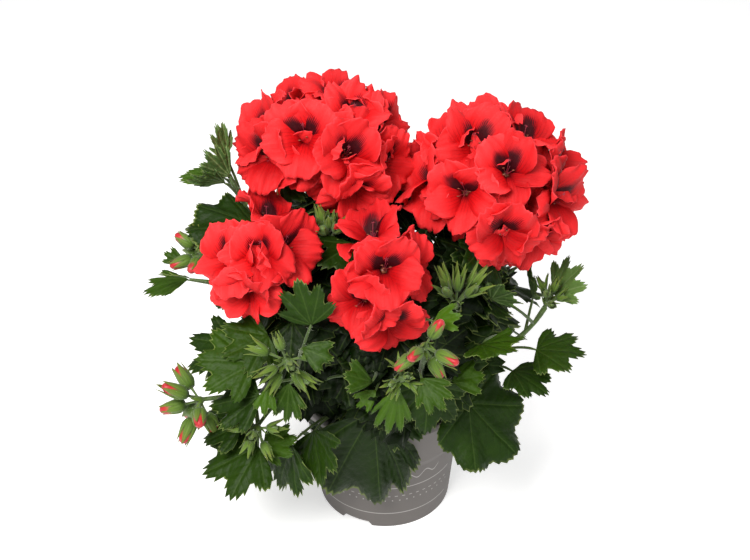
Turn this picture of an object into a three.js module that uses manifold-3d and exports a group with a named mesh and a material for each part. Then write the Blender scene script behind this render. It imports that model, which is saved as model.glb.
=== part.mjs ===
// A potted regal pelargonium: leafy stems, red flower heads and bud clusters in
// a 12 cm nursery pot filled with peat. Millimetres, +Z up, the origin is the
// middle of the pot's underside, and the front of the plant faces -Y.

import * as THREE from 'three';
import { mergeVertices } from 'three/addons/utils/BufferGeometryUtils.js';
import Module from 'manifold-3d';

const wasm = await Module();
wasm.setup();
const { Manifold, Mesh } = wasm;

// Driving dimensions

const GAP = 0.3;
const POT = {
  height: 94, wall: 1.4, floor: 2.4, baseRadius: 46, bodyRadius: 50.6, bodyTop: 55,
  collarRadius: 53.2, collarFoot: 60, rimRadius: 60, lipHeight: 5, sides: 28,
};
const FOOT_NOTCH = { count: 3, first: -114.5, halfAngle: 13, rise: 4, depth: 9 };
const DRAIN = { count: 4, first: 15, radius: 3.5, ring: 30, sides: 6 };
const SOIL = { top: 84, rings: [0, 30], lump: 1.6, sides: 14 };
const STEM = { footRadius: 3.4, topRadius: 1.5, sides: 5, steps: 4 };
const RECEPTACLE = 2.8;
const BRANCH_RADIUS = 0.9;
const PEDUNCLE = { footRadius: 1.5, topRadius: 1.1, sides: 4, steps: 2 };
const BLADE_THICKNESS = 0.9;
const PETIOLE = { rootRadius: 1.1, bladeRadius: 0.9, arch: 0.16, bentFrom: 24 };
const PETAL = {
  count: 5, length: 26, halfWidth: 13, thickness: 0.75, throat: 30, flare: 100,
  wave: 1.6, tilt: 1.3, first: 90,
};
const HUB = { topRadius: 2.3, footRadius: 1.9, depth: 1.7 };
const LIGHTWARD = new THREE.Vector3(0, -0.46, 0.3);
const CALYX = { radius: 2.7, length: 7 };
const CLEARANCE = 0.4;

const GREEN = new THREE.MeshStandardMaterial({ color: 0x3a6b2c, roughness: 0.6, metalness: 0 });
const RED = new THREE.MeshStandardMaterial({ color: 0xf23238, roughness: 0.55, metalness: 0 });
const TAUPE = new THREE.MeshStandardMaterial({ color: 0x6e6762, roughness: 0.62, metalness: 0 });
const PEAT = new THREE.MeshStandardMaterial({ color: 0x2b1f18, roughness: 0.95, metalness: 0 });

// Leafy stems, each a curve from the peat through two guide points to its top

const STEMS = {
  top_left: [[-7, 9, 70], [-9, 11, 140], [-30, 14, 180], [-38, 15, 261]],
  right: [[10, 7, 70], [14, 8, 140], [52, 6, 170], [66, 3, 241]],
  mid_left: [[-15, -2, 70], [-20, -4, 130], [-62, -24, 150], [-76, -40, 217]],
  front: [[1, -13, 70], [2, -20, 130], [0, -44, 150], [-5, -58, 212]],
  upper_left: [[-21, 7, 70], [-26, 10, 130], [-72, 12, 170], [-97, 4, 250]],
  low_left: [[-23, -11, 70], [-30, -16, 118], [-66, -44, 118], [-116, -61, 125]],
  front_left: [[-10, -22, 70], [-14, -32, 120], [-42, -64, 130], [-59, -86, 174]],
  front_right: [[13, -20, 70], [16, -32, 120], [22, -66, 140], [22, -88, 186]],
  low_right: [[22, -6, 70], [32, -8, 110], [82, -20, 120], [104, -7, 158]],
  back_left: [[-12, 21, 70], [-16, 30, 120], [-46, 72, 120], [-60, 90, 168]],
  back_right: [[13, 21, 70], [18, 30, 120], [50, 70, 130], [62, 86, 176]],
  back: [[0, 27, 70], [0, 40, 120], [4, 74, 150], [2, 80, 206]],
};

// Flower heads: the middle, the reach of the throats along X, Y and Z, and each
// bloom's bearing and height seen from the middle, in degrees

const HEADS = {
  top_left: {
    centre: [-38, 15, 261], reach: [34.5, 32, 25.5],
    blooms: [[-152, 9], [-65, 25], [135, 42], [66, 52], [15, 26], [-22, -4], [178, 24], [-116, 46],
      [-58, -22], [-14, 60]],
  },
  right: {
    centre: [66, 3, 241], reach: [38, 33, 32],
    blooms: [[150, 46], [172, 12], [-122, 22], [97, 52], [28, 58], [-78, 46], [4, 22], [-26, 2],
      [-84, -16], [-46, -34], [88, 6], [-155, 70]],
  },
  mid_left: {
    centre: [-76, -40, 217], reach: [17, 21, 21],
    blooms: [[-140, 18], [-112, -26], [-82, 38], [-25, 30], [70, 48]],
  },
  front: {
    centre: [-5, -58, 212], reach: [15, 21, 26],
    blooms: [[112, 55], [-72, 44], [-122, 0], [-68, -30], [20, 12]],
  },
  back_left: {
    centre: [-60, 90, 168], reach: [26, 26, 24],
    blooms: [[50, 24], [135, 4]],
  },
  back_right: {
    centre: [62, 86, 176], reach: [26, 26, 24],
    blooms: [[40, 4], [125, 26]],
  },
};

// Bud clusters: the stem that bears one and how far up it, the middle, the way the
// buds face and how far they spread, their count, their length and thickness

const CLUSTERS = [
  {
    stem: 'low_left', at: 1, centre: [-117, -62, 125], facing: [-0.8, -0.35, -0.25], spread: 95,
    buds: 7, length: 17, belly: 3.1,
  },
  {
    stem: 'front_left', at: 1, centre: [-59, -88, 176], facing: [0, -0.9, 0.15], spread: 105,
    buds: 8, length: 15, belly: 2.3,
  },
  {
    stem: 'low_left', at: 0.55, centre: [-80, -84, 121], facing: [0.1, -0.8, -0.4], spread: 95,
    buds: 5, length: 12, belly: 2.3,
  },
  {
    stem: 'front_right', at: 1, centre: [22, -90, 188], facing: [0.3, -0.8, 0], spread: 90,
    buds: 5, length: 14, belly: 2.6,
  },
  {
    stem: 'front_right', at: 0.5, centre: [42, -52, 192], facing: [0, -0.25, 1], spread: 55,
    buds: 6, length: 16, belly: 2.4,
  },
  {
    stem: 'front', at: 0.5, centre: [9, -94, 168], facing: [0.1, -0.7, 0.3], spread: 90,
    buds: 5, length: 8, belly: 1.6,
  },
  {
    stem: 'top_left', at: 0.55, centre: [-35, -24, 221], facing: [0, -0.4, 1], spread: 32,
    buds: 4, length: 14, belly: 2.6,
  },
  {
    stem: 'mid_left', at: 0.6, centre: [-114, -14, 204], facing: [-0.7, 0, 0.3], spread: 80,
    buds: 5, length: 12, belly: 2.6,
  },
  {
    stem: 'low_right', at: 1, centre: [105, -6, 161], facing: [0.3, -0.1, 1], spread: 60,
    buds: 5, length: 10, belly: 1.8,
  },
  {
    stem: 'back', at: 1, centre: [2, 80, 208], facing: [0, 0.3, 1], spread: 60,
    buds: 5, length: 14, belly: 2.5,
  },
];

// The leaves that show in front, by stem: where the blade starts, where its
// middle tip ends, and how widely its lobes fan out

const LEAVES = {
  upper_left: [
    [[-92, 22, 256], [-99, 24, 286], 0.55], [[-98, 8, 258], [-107, 4, 281], 0.45],
    [[-96, 2, 250], [-111, -5, 272], 0.4], [[-99, -2, 248], [-118, -14, 262], 0.4],
    [[-101, 12, 244], [-130, 16, 245], 0.35], [[-80, -14, 224], [-121, -14, 236], 0.7],
    [[-66, 16, 238], [-52, -2, 238], 0.7],
  ],
  mid_left: [
    [[-124, -22, 190], [-152, -26, 190], 0.45], [[-121, -30, 196], [-137, -38, 208], 0.45],
    [[-126, -16, 197], [-140, -10, 203], 0.5],
  ],
  low_left: [
    [[-96, -50, 162], [-124, -60, 149], 0.95], [[-80, -74, 164], [-116, -74, 168], 0.8],
    [[-72, -60, 174], [-102, -54, 178], 0.85], [[-77, -82, 145], [-110, -80, 137], 0.7],
    [[-90, -70, 114], [-124, -76, 95], 0.9], [[-80, -78, 101], [-116, -86, 86], 0.9],
    [[-78, -78, 100], [-58, -92, 106], 0.6],
  ],
  front_left: [
    [[-58, -92, 162], [-60, -102, 140], 0.5], [[-60, -74, 100], [-71, -79, 64], 0.62],
    [[-44, -84, 199], [-46, -78, 227], 0.7], [[-49, -98, 193], [-31, -106, 190], 0.7],
    [[-46, -66, 104], [-51, -68, 68], 0.7], [[-70, -90, 160], [-74, -104, 148], 0.6],
  ],
  front: [
    [[-8, -67, 121], [-3, -72, 44], 0.56], [[-28, -63, 90], [-32, -61, 52], 0.6],
    [[7, -94, 160], [0, -98, 128], 0.55], [[-6, -84, 151], [-15, -94, 142], 0.6],
    [[-8, -88, 160], [-24, -98, 174], 0.6], [[26, -80, 152], [24, -90, 120], 0.85],
    [[27, -80, 199], [42, -88, 209], 0.6],
  ],
  front_right: [
    [[20, -98, 171], [43, -106, 172], 0.6], [[52, -64, 124], [83, -76, 92], 1],
    [[40, -74, 150], [62, -84, 140], 0.8],
  ],
  low_right: [
    [[58, -60, 168], [77, -80, 178], 0.8], [[96, -34, 144], [125, -42, 152], 0.85],
    [[80, -48, 138], [102, -64, 136], 0.8], [[110, 2, 162], [127, 0, 186], 0.6],
    [[98, 10, 154], [95, 10, 182], 0.6], [[66, -30, 180], [80, -44, 198], 0.5],
  ],
};

// The leaves that fill the dome of the plant between and behind those

const CANOPY = {
  leaves: 23, lowest: 98, highest: 236, turn: 137.508, minLength: 32, maxLength: 48,
  girth: 112, crownGirth: 62, innerShare: 0.64, outerShare: 0.88, drop: 34, seed: 41,
};

// How a leaf is turned aside when it would touch something, in the order tried:
// its swing and lift in degrees, the sideways bow of its stalk in mm, its size

const SWINGS = [0, 14, -14, 28, -28, 42, -42];
const LIFTS = [0, 12, -12, 24, -24];
const BOWS = [0, 9, -9];
const SIZES = [1, 0.8, 0.62];

// Small helpers

const vec = (p) => new THREE.Vector3(...p);
const radians = THREE.MathUtils.degToRad;
const mix = THREE.MathUtils.lerp;

// A seeded stream of numbers from 0 to 1.
function draws(seed) {
  let state = (seed * 2654435 + 12345) % 4294967296;
  return () => {
    state = (state * 1664525 + 1013904223) % 4294967296;
    return state / 4294967296;
  };
}

// A unit vector from a bearing around +Z and a height above the horizon.
function heading(bearing, height) {
  const a = radians(bearing);
  const h = radians(height);
  return new THREE.Vector3(Math.cos(a) * Math.cos(h), Math.sin(a) * Math.cos(h), Math.sin(h));
}

// The part of v that is square to the unit vector n, at length 1.
function squareTo(v, n) {
  return v.clone().addScaledVector(n, -v.dot(n)).normalize();
}

// A growing list of corners and triangles that becomes one solid.
class Shell {
  constructor() {
    this.corners = [];
    this.faces = [];
  }

  add(point) {
    this.corners.push(point);
    return this.corners.length - 1;
  }

  addRing(points) {
    return points.map((point) => this.add(point));
  }

  // Side faces from one ring of corners to the next, which may be one corner.
  bridge(from, to) {
    from.forEach((a, i) => {
      const b = from[(i + 1) % from.length];
      const c = to[(i + 1) % to.length];
      const d = to[i % to.length];
      this.faces.push([a, b, c]);
      if (c !== d) this.faces.push([a, c, d]);
    });
  }

  cap(ring) {
    for (let i = 1; i < ring.length - 1; i += 1) this.faces.push([ring[0], ring[i], ring[i + 1]]);
  }

  // A blade: a fan over and under its outline, and the edge between them. The
  // side from the outline's last corner to its first stays open.
  fan(over, under, middleOver, middleUnder) {
    const last = over.length - 1;
    for (let i = 0; i < last; i += 1) {
      this.faces.push([middleOver, over[i], over[i + 1]], [middleUnder, under[i + 1], under[i]]);
      this.faces.push([over[i], under[i], under[i + 1]], [over[i], under[i + 1], over[i + 1]]);
    }
    this.faces.push([middleOver, over[last], over[0]], [middleUnder, under[0], under[last]]);
  }

  // A blade without a middle corner, split across from its root to its rim.
  strip(over, under) {
    const last = over.length - 1;
    for (let i = 0; i < last; i += 1) {
      this.faces.push([over[i], under[i], under[i + 1]], [over[i], under[i + 1], over[i + 1]]);
    }
    for (let i = 0; i < last - i; i += 1) {
      const j = last - i;
      this.triangle(over, under, i, i + 1, j);
      if (j - 1 > i + 1) this.triangle(over, under, i + 1, j - 1, j);
    }
  }

  triangle(over, under, a, b, c) {
    this.faces.push([over[a], over[b], over[c]], [under[c], under[b], under[a]]);
  }

  solid() {
    const vertProperties = new Float32Array(this.corners.flatMap((c) => [c.x, c.y, c.z]));
    const triVerts = new Uint32Array(this.faces.flat());
    return new Manifold(new Mesh({ numProp: 3, vertProperties, triVerts }));
  }
}

// A ring of corners around a tube's middle line.
function tubeRing(centre, along, side, radius, sides) {
  const across = squareTo(side, along);
  const up = new THREE.Vector3().crossVectors(along, across);
  return Array.from({ length: sides }, (_, i) => {
    const a = ((i + 0.5) / sides) * 2 * Math.PI;
    return centre.clone().addScaledVector(across, radius * Math.cos(a))
      .addScaledVector(up, radius * Math.sin(a));
  });
}

// A round stalk along a curve, whose radius follows a function of the way along.
function stalk(curve, radiusAt, sides, steps, side = new THREE.Vector3(1, 0.2, 0)) {
  const shell = new Shell();
  let ring = null;
  for (let i = 0; i <= steps; i += 1) {
    const t = i / steps;
    const along = curve.getTangent(t);
    const next = shell.addRing(tubeRing(curve.getPoint(t), along, side, radiusAt(t), sides));
    if (ring) shell.bridge(ring, next);
    else shell.cap(next.slice().reverse());
    ring = next;
  }
  shell.cap(ring);
  return shell.solid();
}

// A three.js geometry with its corners shared between its triangles.
function bareMesh(geometry) {
  const bare = geometry.clone();
  bare.deleteAttribute('normal');
  bare.deleteAttribute('uv');
  return mergeVertices(bare, 1e-4);
}

// A closed three.js geometry as a solid.
function solidFrom(geometry) {
  const merged = bareMesh(geometry);
  const mesh = new Mesh({
    numProp: 3, vertProperties: merged.attributes.position.array,
    triVerts: Uint32Array.from(merged.index.array),
  });
  mesh.merge();
  return new Manifold(mesh);
}

function named(name, solid, material) {
  const { vertProperties, triVerts } = solid.getMesh();
  const geometry = new THREE.BufferGeometry();
  geometry.setAttribute('position', new THREE.BufferAttribute(new Float32Array(vertProperties), 3));
  geometry.setIndex(new THREE.BufferAttribute(new Uint32Array(triVerts), 1));
  geometry.computeVertexNormals();
  const mesh = new THREE.Mesh(geometry, material.clone());
  mesh.name = name;
  return mesh;
}

// The largest body of a solid, without loose scraps.
function wholeBody(solid) {
  const bodies = solid.decompose();
  return bodies.reduce((best, body) => (body.volume() > best.volume() ? body : best));
}

// Turned shapes around +Z from a profile of radius and height.
function turned(profile, sides) {
  const geometry = new THREE.LatheGeometry(profile.map(([r, z]) => new THREE.Vector2(r, z)), sides);
  return geometry.rotateX(Math.PI / 2);
}

// The pot

function innerRadius(z) {
  const { baseRadius, bodyRadius, bodyTop, wall } = POT;
  return mix(baseRadius, bodyRadius, z / bodyTop) - wall;
}

function pot() {
  const p = POT;
  const lip = p.height - p.lipHeight;
  const outside = [
    [0, 0], [p.baseRadius - 1, 0], [p.baseRadius, 1], [p.bodyRadius, p.bodyTop],
    [p.collarRadius, p.collarFoot], [p.rimRadius - 3.4, lip - 1], [p.rimRadius, lip],
    [p.rimRadius - 0.6, p.height],
  ];
  const inside = [
    [p.rimRadius - 3.6, p.height], [p.collarRadius - p.wall, p.collarFoot - 0.6],
    [innerRadius(p.bodyTop - 1), p.bodyTop - 1], [innerRadius(p.floor), p.floor], [0, p.floor],
  ];
  let body = solidFrom(turned([...outside, ...inside], p.sides));
  for (let i = 0; i < FOOT_NOTCH.count; i += 1) {
    body = body.subtract(footNotch(FOOT_NOTCH.first + (i * 360) / FOOT_NOTCH.count));
  }
  for (let i = 0; i < DRAIN.count; i += 1) {
    const a = radians(DRAIN.first + (i * 360) / DRAIN.count);
    const hole = new THREE.CylinderGeometry(DRAIN.radius, DRAIN.radius, 4 * p.floor, DRAIN.sides);
    hole.rotateX(Math.PI / 2).translate(DRAIN.ring * Math.cos(a), DRAIN.ring * Math.sin(a), 0);
    body = body.subtract(solidFrom(hole));
  }
  return body;
}

// The wedge of air under the foot's edge, steep at one end and sloped at the other.
function footNotch(bearing) {
  const { halfAngle, rise, depth } = FOOT_NOTCH;
  const reach = POT.baseRadius * Math.tan(radians(halfAngle));
  const outline = new THREE.Shape([
    new THREE.Vector2(-reach, -1), new THREE.Vector2(reach + 1.5, -1),
    new THREE.Vector2(reach - rise * 0.7, rise), new THREE.Vector2(-reach + 0.4, rise),
  ]);
  const wedge = new THREE.ExtrudeGeometry(outline, { depth, bevelEnabled: false });
  wedge.rotateX(Math.PI / 2).rotateZ(Math.PI / 2);
  wedge.translate(POT.baseRadius - POT.wall - 0.9, 0, 0);
  wedge.rotateZ(radians(bearing));
  return solidFrom(wedge);
}

// The peat, with a lumpy top and a plain hole for each stem

function soil(holes) {
  const p = POT;
  const rimShare = (SOIL.top - p.collarFoot + 0.6) / (p.height - p.collarFoot + 0.6);
  const edge = mix(p.collarRadius - p.wall, p.rimRadius - 3.6, rimShare) - CLEARANCE;
  const foot = p.floor + GAP;
  const profile = [
    [0, foot], [innerRadius(foot) - CLEARANCE, foot],
    [innerRadius(p.bodyTop - 1) - CLEARANCE, p.bodyTop - 1],
    [p.collarRadius - p.wall - CLEARANCE, p.collarFoot], [edge, SOIL.top - 1],
    ...SOIL.rings.slice().reverse().map((r) => [r, SOIL.top]),
  ];
  const geometry = turned(profile, SOIL.sides);
  const at = geometry.attributes.position;
  for (let i = 0; i < at.count; i += 1) {
    if (at.getZ(i) > SOIL.top - 0.5) {
      const lump = Math.sin(at.getX(i) * 0.21) * Math.cos(at.getY(i) * 0.17 + 1);
      at.setZ(i, SOIL.top + SOIL.lump * lump);
    }
  }
  return holes.reduce((body, hole) => body.subtract(hole), solidFrom(geometry));
}

// Stems

function stemCurve(name) {
  return new THREE.CubicBezierCurve3(...STEMS[name].map(vec));
}

const stemRadius = (t) => mix(STEM.footRadius, STEM.topRadius, Math.min(1, t * 1.25));

function stem(name, extra = 0) {
  const curve = stemCurve(name);
  if (extra) curve.v0.z -= extra;
  return stalk(curve, (t) => stemRadius(t) + extra, STEM.sides, STEM.steps);
}

// Flowers

// The frame of one bloom: its throat, its axis, which leans from the middle of the
// head toward the light, and the side its upper petals face.
function bloomFrame(head, [bearing, height], index) {
  const outward = heading(bearing, height);
  const throat = vec(head.centre).add(outward.clone().multiply(vec(head.reach)));
  const axis = outward.add(LIGHTWARD).normalize();
  const upright = squareTo(new THREE.Vector3(0, 0.35, 1), axis);
  const leftward = new THREE.Vector3().crossVectors(axis, upright);
  const draw = draws(index + Math.round(head.centre[0]) + 500);
  return { axis, throat, upright, leftward, size: mix(0.93, 1.07, draw()), phase: draw() * 6.283 };
}

// A point of a petal: u runs across it from -1 to 1, v along it from 0 to 1, and
// under is how far below its upper face the point lies.
function petalPoint(bloom, petal, u, v, under = 0) {
  const spin = radians(PETAL.first - 54 + (petal * 360) / PETAL.count);
  const outward = bloom.upright.clone().multiplyScalar(Math.cos(spin))
    .addScaledVector(bloom.leftward, Math.sin(spin));
  const sideways = new THREE.Vector3().crossVectors(bloom.axis, outward);
  const throat = radians(PETAL.throat);
  const bend = radians(PETAL.flare) - throat;
  const a = throat + bend * v;
  const length = PETAL.length * bloom.size;
  const hubEdge = HUB.topRadius * Math.cos(Math.PI / PETAL.count);
  const out = hubEdge + (length * (Math.cos(throat) - Math.cos(a))) / bend;
  const rise = (length * (Math.sin(a) - Math.sin(throat))) / bend;
  const fullness = 0.15 + 0.85 * Math.sqrt(Math.max(0, 1 - ((v - 0.65) / 0.65) ** 2));
  const across = u * PETAL.halfWidth * bloom.size * fullness;
  const lift = PETAL.tilt * u * v + PETAL.wave * v * v * Math.cos(4.7 * u + bloom.phase + 2 * petal);
  return bloom.throat.clone().addScaledVector(outward, out - Math.cos(a) * (lift - under))
    .addScaledVector(sideways, across).addScaledVector(bloom.axis, rise + Math.sin(a) * (lift - under));
}

const PETAL_RIM = [[-0.84, 0.62], [-0.52, 1], [0.52, 1], [0.84, 0.62]];

// Five petals around a small hub, in one closed body.
function corolla(bloom) {
  const shell = new Shell();
  const hubRing = (radius, depth) => Array.from({ length: PETAL.count }, (_, i) => {
    const spin = radians(PETAL.first - 90 + (i * 360) / PETAL.count);
    return shell.add(bloom.throat.clone().addScaledVector(bloom.upright, radius * Math.cos(spin))
      .addScaledVector(bloom.leftward, radius * Math.sin(spin)).addScaledVector(bloom.axis, -depth));
  });
  const top = hubRing(HUB.topRadius, 0);
  const foot = hubRing(HUB.footRadius, HUB.depth);
  shell.cap(top);
  shell.cap(foot.slice().reverse());
  for (let i = 0; i < PETAL.count; i += 1) {
    const next = (i + 1) % PETAL.count;
    const rim = (under) => shell.addRing(PETAL_RIM.map(([u, v]) => petalPoint(bloom, i, u, v, under)));
    const over = [top[i], ...rim(0), top[next]];
    const below = [foot[i], ...rim(PETAL.thickness), foot[next]];
    shell.strip(over, below);
  }
  return shell.solid();
}

function petalsOf(head) {
  const blooms = head.blooms.map((place, i) => corolla(bloomFrame(head, place, i)));
  return Manifold.union(blooms);
}

// A branch of an umbel: its middle line's corners with their radii, ending in a
// flat brim or, where it ends in a point, in that point.
function flowerStalk(head, place, index) {
  const bloom = bloomFrame(head, place, index);
  const brim = bloom.throat.clone().addScaledVector(bloom.axis, -HUB.depth - GAP);
  const neck = brim.clone().addScaledVector(bloom.axis, -CALYX.length);
  return { along: bloom.axis, rings: [[neck, BRANCH_RADIUS], [brim, CALYX.radius]] };
}

// Where a cluster's buds start and end.
function budLines(cluster) {
  const facing = vec(cluster.facing).normalize();
  const across = squareTo(new THREE.Vector3(0.3, 1, 0.2), facing);
  const up = new THREE.Vector3().crossVectors(facing, across);
  const draw = draws(Math.round(cluster.centre[2]) + cluster.buds);
  return Array.from({ length: cluster.buds }, (_, i) => {
    const lean = radians(cluster.spread) * Math.sqrt((i + 0.3) / cluster.buds);
    const turn = radians(CANOPY.turn) * i;
    const along = facing.clone().multiplyScalar(Math.cos(lean))
      .addScaledVector(across, Math.sin(lean) * Math.cos(turn))
      .addScaledVector(up, Math.sin(lean) * Math.sin(turn));
    const stalkLength = cluster.length * mix(0.35, 0.6, draw());
    const length = cluster.length * mix(0.85, 1.12, draw());
    const start = vec(cluster.centre).addScaledVector(along, RECEPTACLE + stalkLength);
    return { along, start, length };
  });
}

function bud(cluster, { along, start, length }) {
  const belly = start.clone().addScaledVector(along, length * 0.4);
  const tip = start.clone().addScaledVector(along, length);
  return { along, rings: [[start, BRANCH_RADIUS], [belly, cluster.belly]], tip };
}

// An umbel in one closed body: a small knob, and branches that each grow out of
// the face of the knob that looks their way.
function umbel(centre, branches) {
  const middle = vec(centre);
  const knob = bareMesh(new THREE.IcosahedronGeometry(RECEPTACLE, 0).translate(...centre));
  const shell = new Shell();
  const corners = knob.attributes.position;
  for (let i = 0; i < corners.count; i += 1) {
    shell.add(new THREE.Vector3().fromBufferAttribute(corners, i));
  }
  const index = Array.from(knob.index.array);
  const free = Array.from({ length: index.length / 3 }, (_, i) => index.slice(3 * i, 3 * i + 3));
  const middleOf = (face) => face.reduce((sum, i) => sum.add(shell.corners[i]), new THREE.Vector3())
    .divideScalar(face.length);
  const wayTo = (point) => point.clone().sub(middle).normalize();
  const waiting = branches.slice();
  while (waiting.length) {
    let best = null;
    waiting.forEach((branch) => free.forEach((face) => {
      const match = wayTo(middleOf(face)).dot(wayTo(branch.rings[0][0]));
      if (!best || match > best.match) best = { match, branch, face };
    }));
    waiting.splice(waiting.indexOf(best.branch), 1);
    free.splice(free.indexOf(best.face), 1);
    growBranch(shell, best.face, middleOf(best.face), best.branch);
  }
  shell.faces.push(...free);
  return shell.solid();
}

// One branch of an umbel, with as many sides as the knob's face.
function growBranch(shell, face, foot, { along, rings, tip }) {
  const side = shell.corners[face[0]].clone().sub(foot);
  let ring = face;
  rings.forEach(([at, radius], i) => {
    const way = i ? along : at.clone().sub(foot).normalize().add(along).normalize();
    const across = squareTo(side, way);
    const spoke = (k) => across.clone().applyAxisAngle(way, (k * 2 * Math.PI) / face.length);
    const next = shell.addRing(face.map((_, k) => at.clone().addScaledVector(spoke(k), radius)));
    shell.bridge(ring, next);
    ring = next;
  });
  if (tip) shell.bridge(ring, [shell.add(tip)]);
  else shell.cap(ring);
}

// The stalk from a stem out to a cluster that doesn't sit on the stem's top.
function clusterStalk(cluster) {
  const from = stemCurve(cluster.stem).getPoint(Math.min(cluster.at, 0.98));
  const to = vec(cluster.centre);
  const bow = from.clone().lerp(to, 0.5).add(new THREE.Vector3(0, 0, from.distanceTo(to) * 0.12));
  const curve = new THREE.QuadraticBezierCurve3(from, bow, to);
  const radius = (t) => mix(PEDUNCLE.footRadius, PEDUNCLE.topRadius, t);
  return stalk(curve, radius, PEDUNCLE.sides, cluster.at < 1 ? PEDUNCLE.steps : 1);
}

// Leaves

const LOBES = {
  step: 44, reach: [1, 0.94, 0.76], corner: 0.5, cornerReach: 0.34, tooth: 0.27, toothReach: 0.93,
};
const LARGE_LEAF = 47;
const SMALL_LEAF = 24;
const LEVELLING = 0.8;
const STALK_SPAN = { first: 0.24, last: 0.9, samples: 22, climb: 0.6 };

// The point of a stem that a leaf stalk climbs from to reach a blade at base.
function stalkRoot(name, base) {
  const curve = stemCurve(name);
  let best = null;
  for (let i = 0; i < STALK_SPAN.samples; i += 1) {
    const t = mix(STALK_SPAN.first, STALK_SPAN.last, i / (STALK_SPAN.samples - 1));
    const point = curve.getPoint(t);
    const run = Math.hypot(base.x - point.x, base.y - point.y);
    const miss = Math.abs(base.z - point.z - STALK_SPAN.climb * run);
    if (!best || miss < best.miss) best = { miss, point };
  }
  return best.point;
}

// A leaf with its blade's frame, swung, lifted and bowed aside by one of the ways.
function leafAt({ stem: name, base: b, tip: t, spread, seed }, way = 0) {
  const base = vec(b);
  const reach = vec(t).sub(base);
  const facing = new THREE.Vector3(b[0], b[1], 0).normalize().multiplyScalar(0.75).setZ(0.8);
  const right = new THREE.Vector3().crossVectors(reach, facing).normalize();
  const normal = new THREE.Vector3().crossVectors(right, reach).normalize();
  const swing = SWINGS[way % SWINGS.length];
  const lift = LIFTS[Math.floor(way / SWINGS.length) % LIFTS.length];
  const bow = BOWS[Math.floor(way / SWINGS.length / LIFTS.length) % BOWS.length];
  const size = SIZES[Math.floor(way / SWINGS.length / LIFTS.length / BOWS.length)];
  [reach, right, normal].forEach((v) => v.applyAxisAngle(normal.clone(), radians(swing)));
  const hinge = right.clone();
  [reach, normal].forEach((v) => v.applyAxisAngle(hinge, radians(lift)));
  const length = reach.length() * size;
  const forward = reach.normalize();
  const draw = draws(seed);
  return {
    base, right, normal, length, spread, bow, forward, root: stalkRoot(name, base),
    droop: mix(0.06, 0.3, draw()) * (1 - LEVELLING * Math.abs(forward.z)),
    cup: mix(-0.16, 0.2, draw()), pleat: mix(0.03, 0.07, draw()),
    cut: mix(0.14, 0.24, draw()) + (length < LARGE_LEAF ? 0.1 : 0),
  };
}

// A point of a blade, by its angle from the middle vein and its reach from the stalk.
function bladePoint(leaf, angle, reach) {
  const x = reach * Math.sin(angle);
  const y = reach * Math.cos(angle);
  const folds = Math.cos((angle * 2 * Math.PI) / radians(LOBES.step * leaf.spread));
  const height = leaf.cup * x * x - leaf.droop * y * Math.abs(y) + leaf.pleat * reach * reach * folds;
  return leaf.base.clone().addScaledVector(leaf.right, x * leaf.length)
    .addScaledVector(leaf.forward, y * leaf.length).addScaledVector(leaf.normal, height * leaf.length);
}

// The cut edge of a blade from its right corner round to its left one.
function bladeEdge(leaf) {
  const step = radians(LOBES.step * leaf.spread);
  const teeth = leaf.length >= LARGE_LEAF ? [-LOBES.tooth, 0, LOBES.tooth] : [0];
  const half = [];
  const outer = leaf.length < SMALL_LEAF ? 1 : 2;
  for (let i = 0; i <= outer; i += 1) {
    teeth.forEach((shift) => {
      if (i + shift >= 0) half.push([(i + shift) * step, LOBES.reach[i] * (shift ? LOBES.toothReach : 1)]);
    });
    if (i < outer) half.push([(i + 0.5) * step, LOBES.reach[i + 1] * (1 - leaf.cut)]);
  }
  half.push([(outer + LOBES.corner) * step, LOBES.cornerReach]);
  const mirrored = half.filter(([angle]) => angle > 0).map(([angle, reach]) => [-angle, reach]);
  return [...half.reverse(), ...mirrored];
}

// One leaf as a closed body: the cut blade and, if asked, its stalk.
function leafSolid(leaf, withStalk = true) {
  const shell = new Shell();
  const below = (point, t) => point.clone().addScaledVector(leaf.normal, -t);
  const half = PETIOLE.bladeRadius;
  const corner = (side) => leaf.base.clone().addScaledVector(leaf.right, side * half);
  const edge = bladeEdge(leaf).map(([angle, reach]) => bladePoint(leaf, angle, reach));
  const outline = [corner(1), ...edge, corner(-1)];
  const over = shell.addRing(outline);
  const under = shell.addRing(outline.map((p) => below(p, BLADE_THICKNESS)));
  const heart = bladePoint(leaf, 0, 0.45);
  shell.fan(over, under, shell.add(heart), shell.add(below(heart, BLADE_THICKNESS)));
  const last = over.length - 1;
  const joint = [under[0], under[last], over[last], over[0]];
  if (!withStalk) {
    shell.cap(joint.slice().reverse());
    return shell.solid();
  }
  const { root, base } = leaf;
  const middle = root.clone().lerp(base, 0.5).addScaledVector(leaf.right, leaf.bow);
  middle.z += PETIOLE.arch * root.distanceTo(base);
  const curve = new THREE.QuadraticBezierCurve3(root, middle, base);
  const leftward = leaf.right.clone().negate();
  const ringAt = (t, radius) => {
    const ring = tubeRing(curve.getPoint(t), curve.getTangent(t), leftward, radius * Math.SQRT2, 4);
    return shell.addRing([ring[2], ring[3], ring[0], ring[1]]);
  };
  const foot = ringAt(0, PETIOLE.rootRadius);
  shell.cap(foot.slice().reverse());
  if (root.distanceTo(base) > PETIOLE.bentFrom) {
    const waist = ringAt(0.5, PETIOLE.bladeRadius);
    shell.bridge(foot, waist);
    shell.bridge(waist, joint);
  } else shell.bridge(foot, joint);
  return shell.solid();
}

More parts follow.
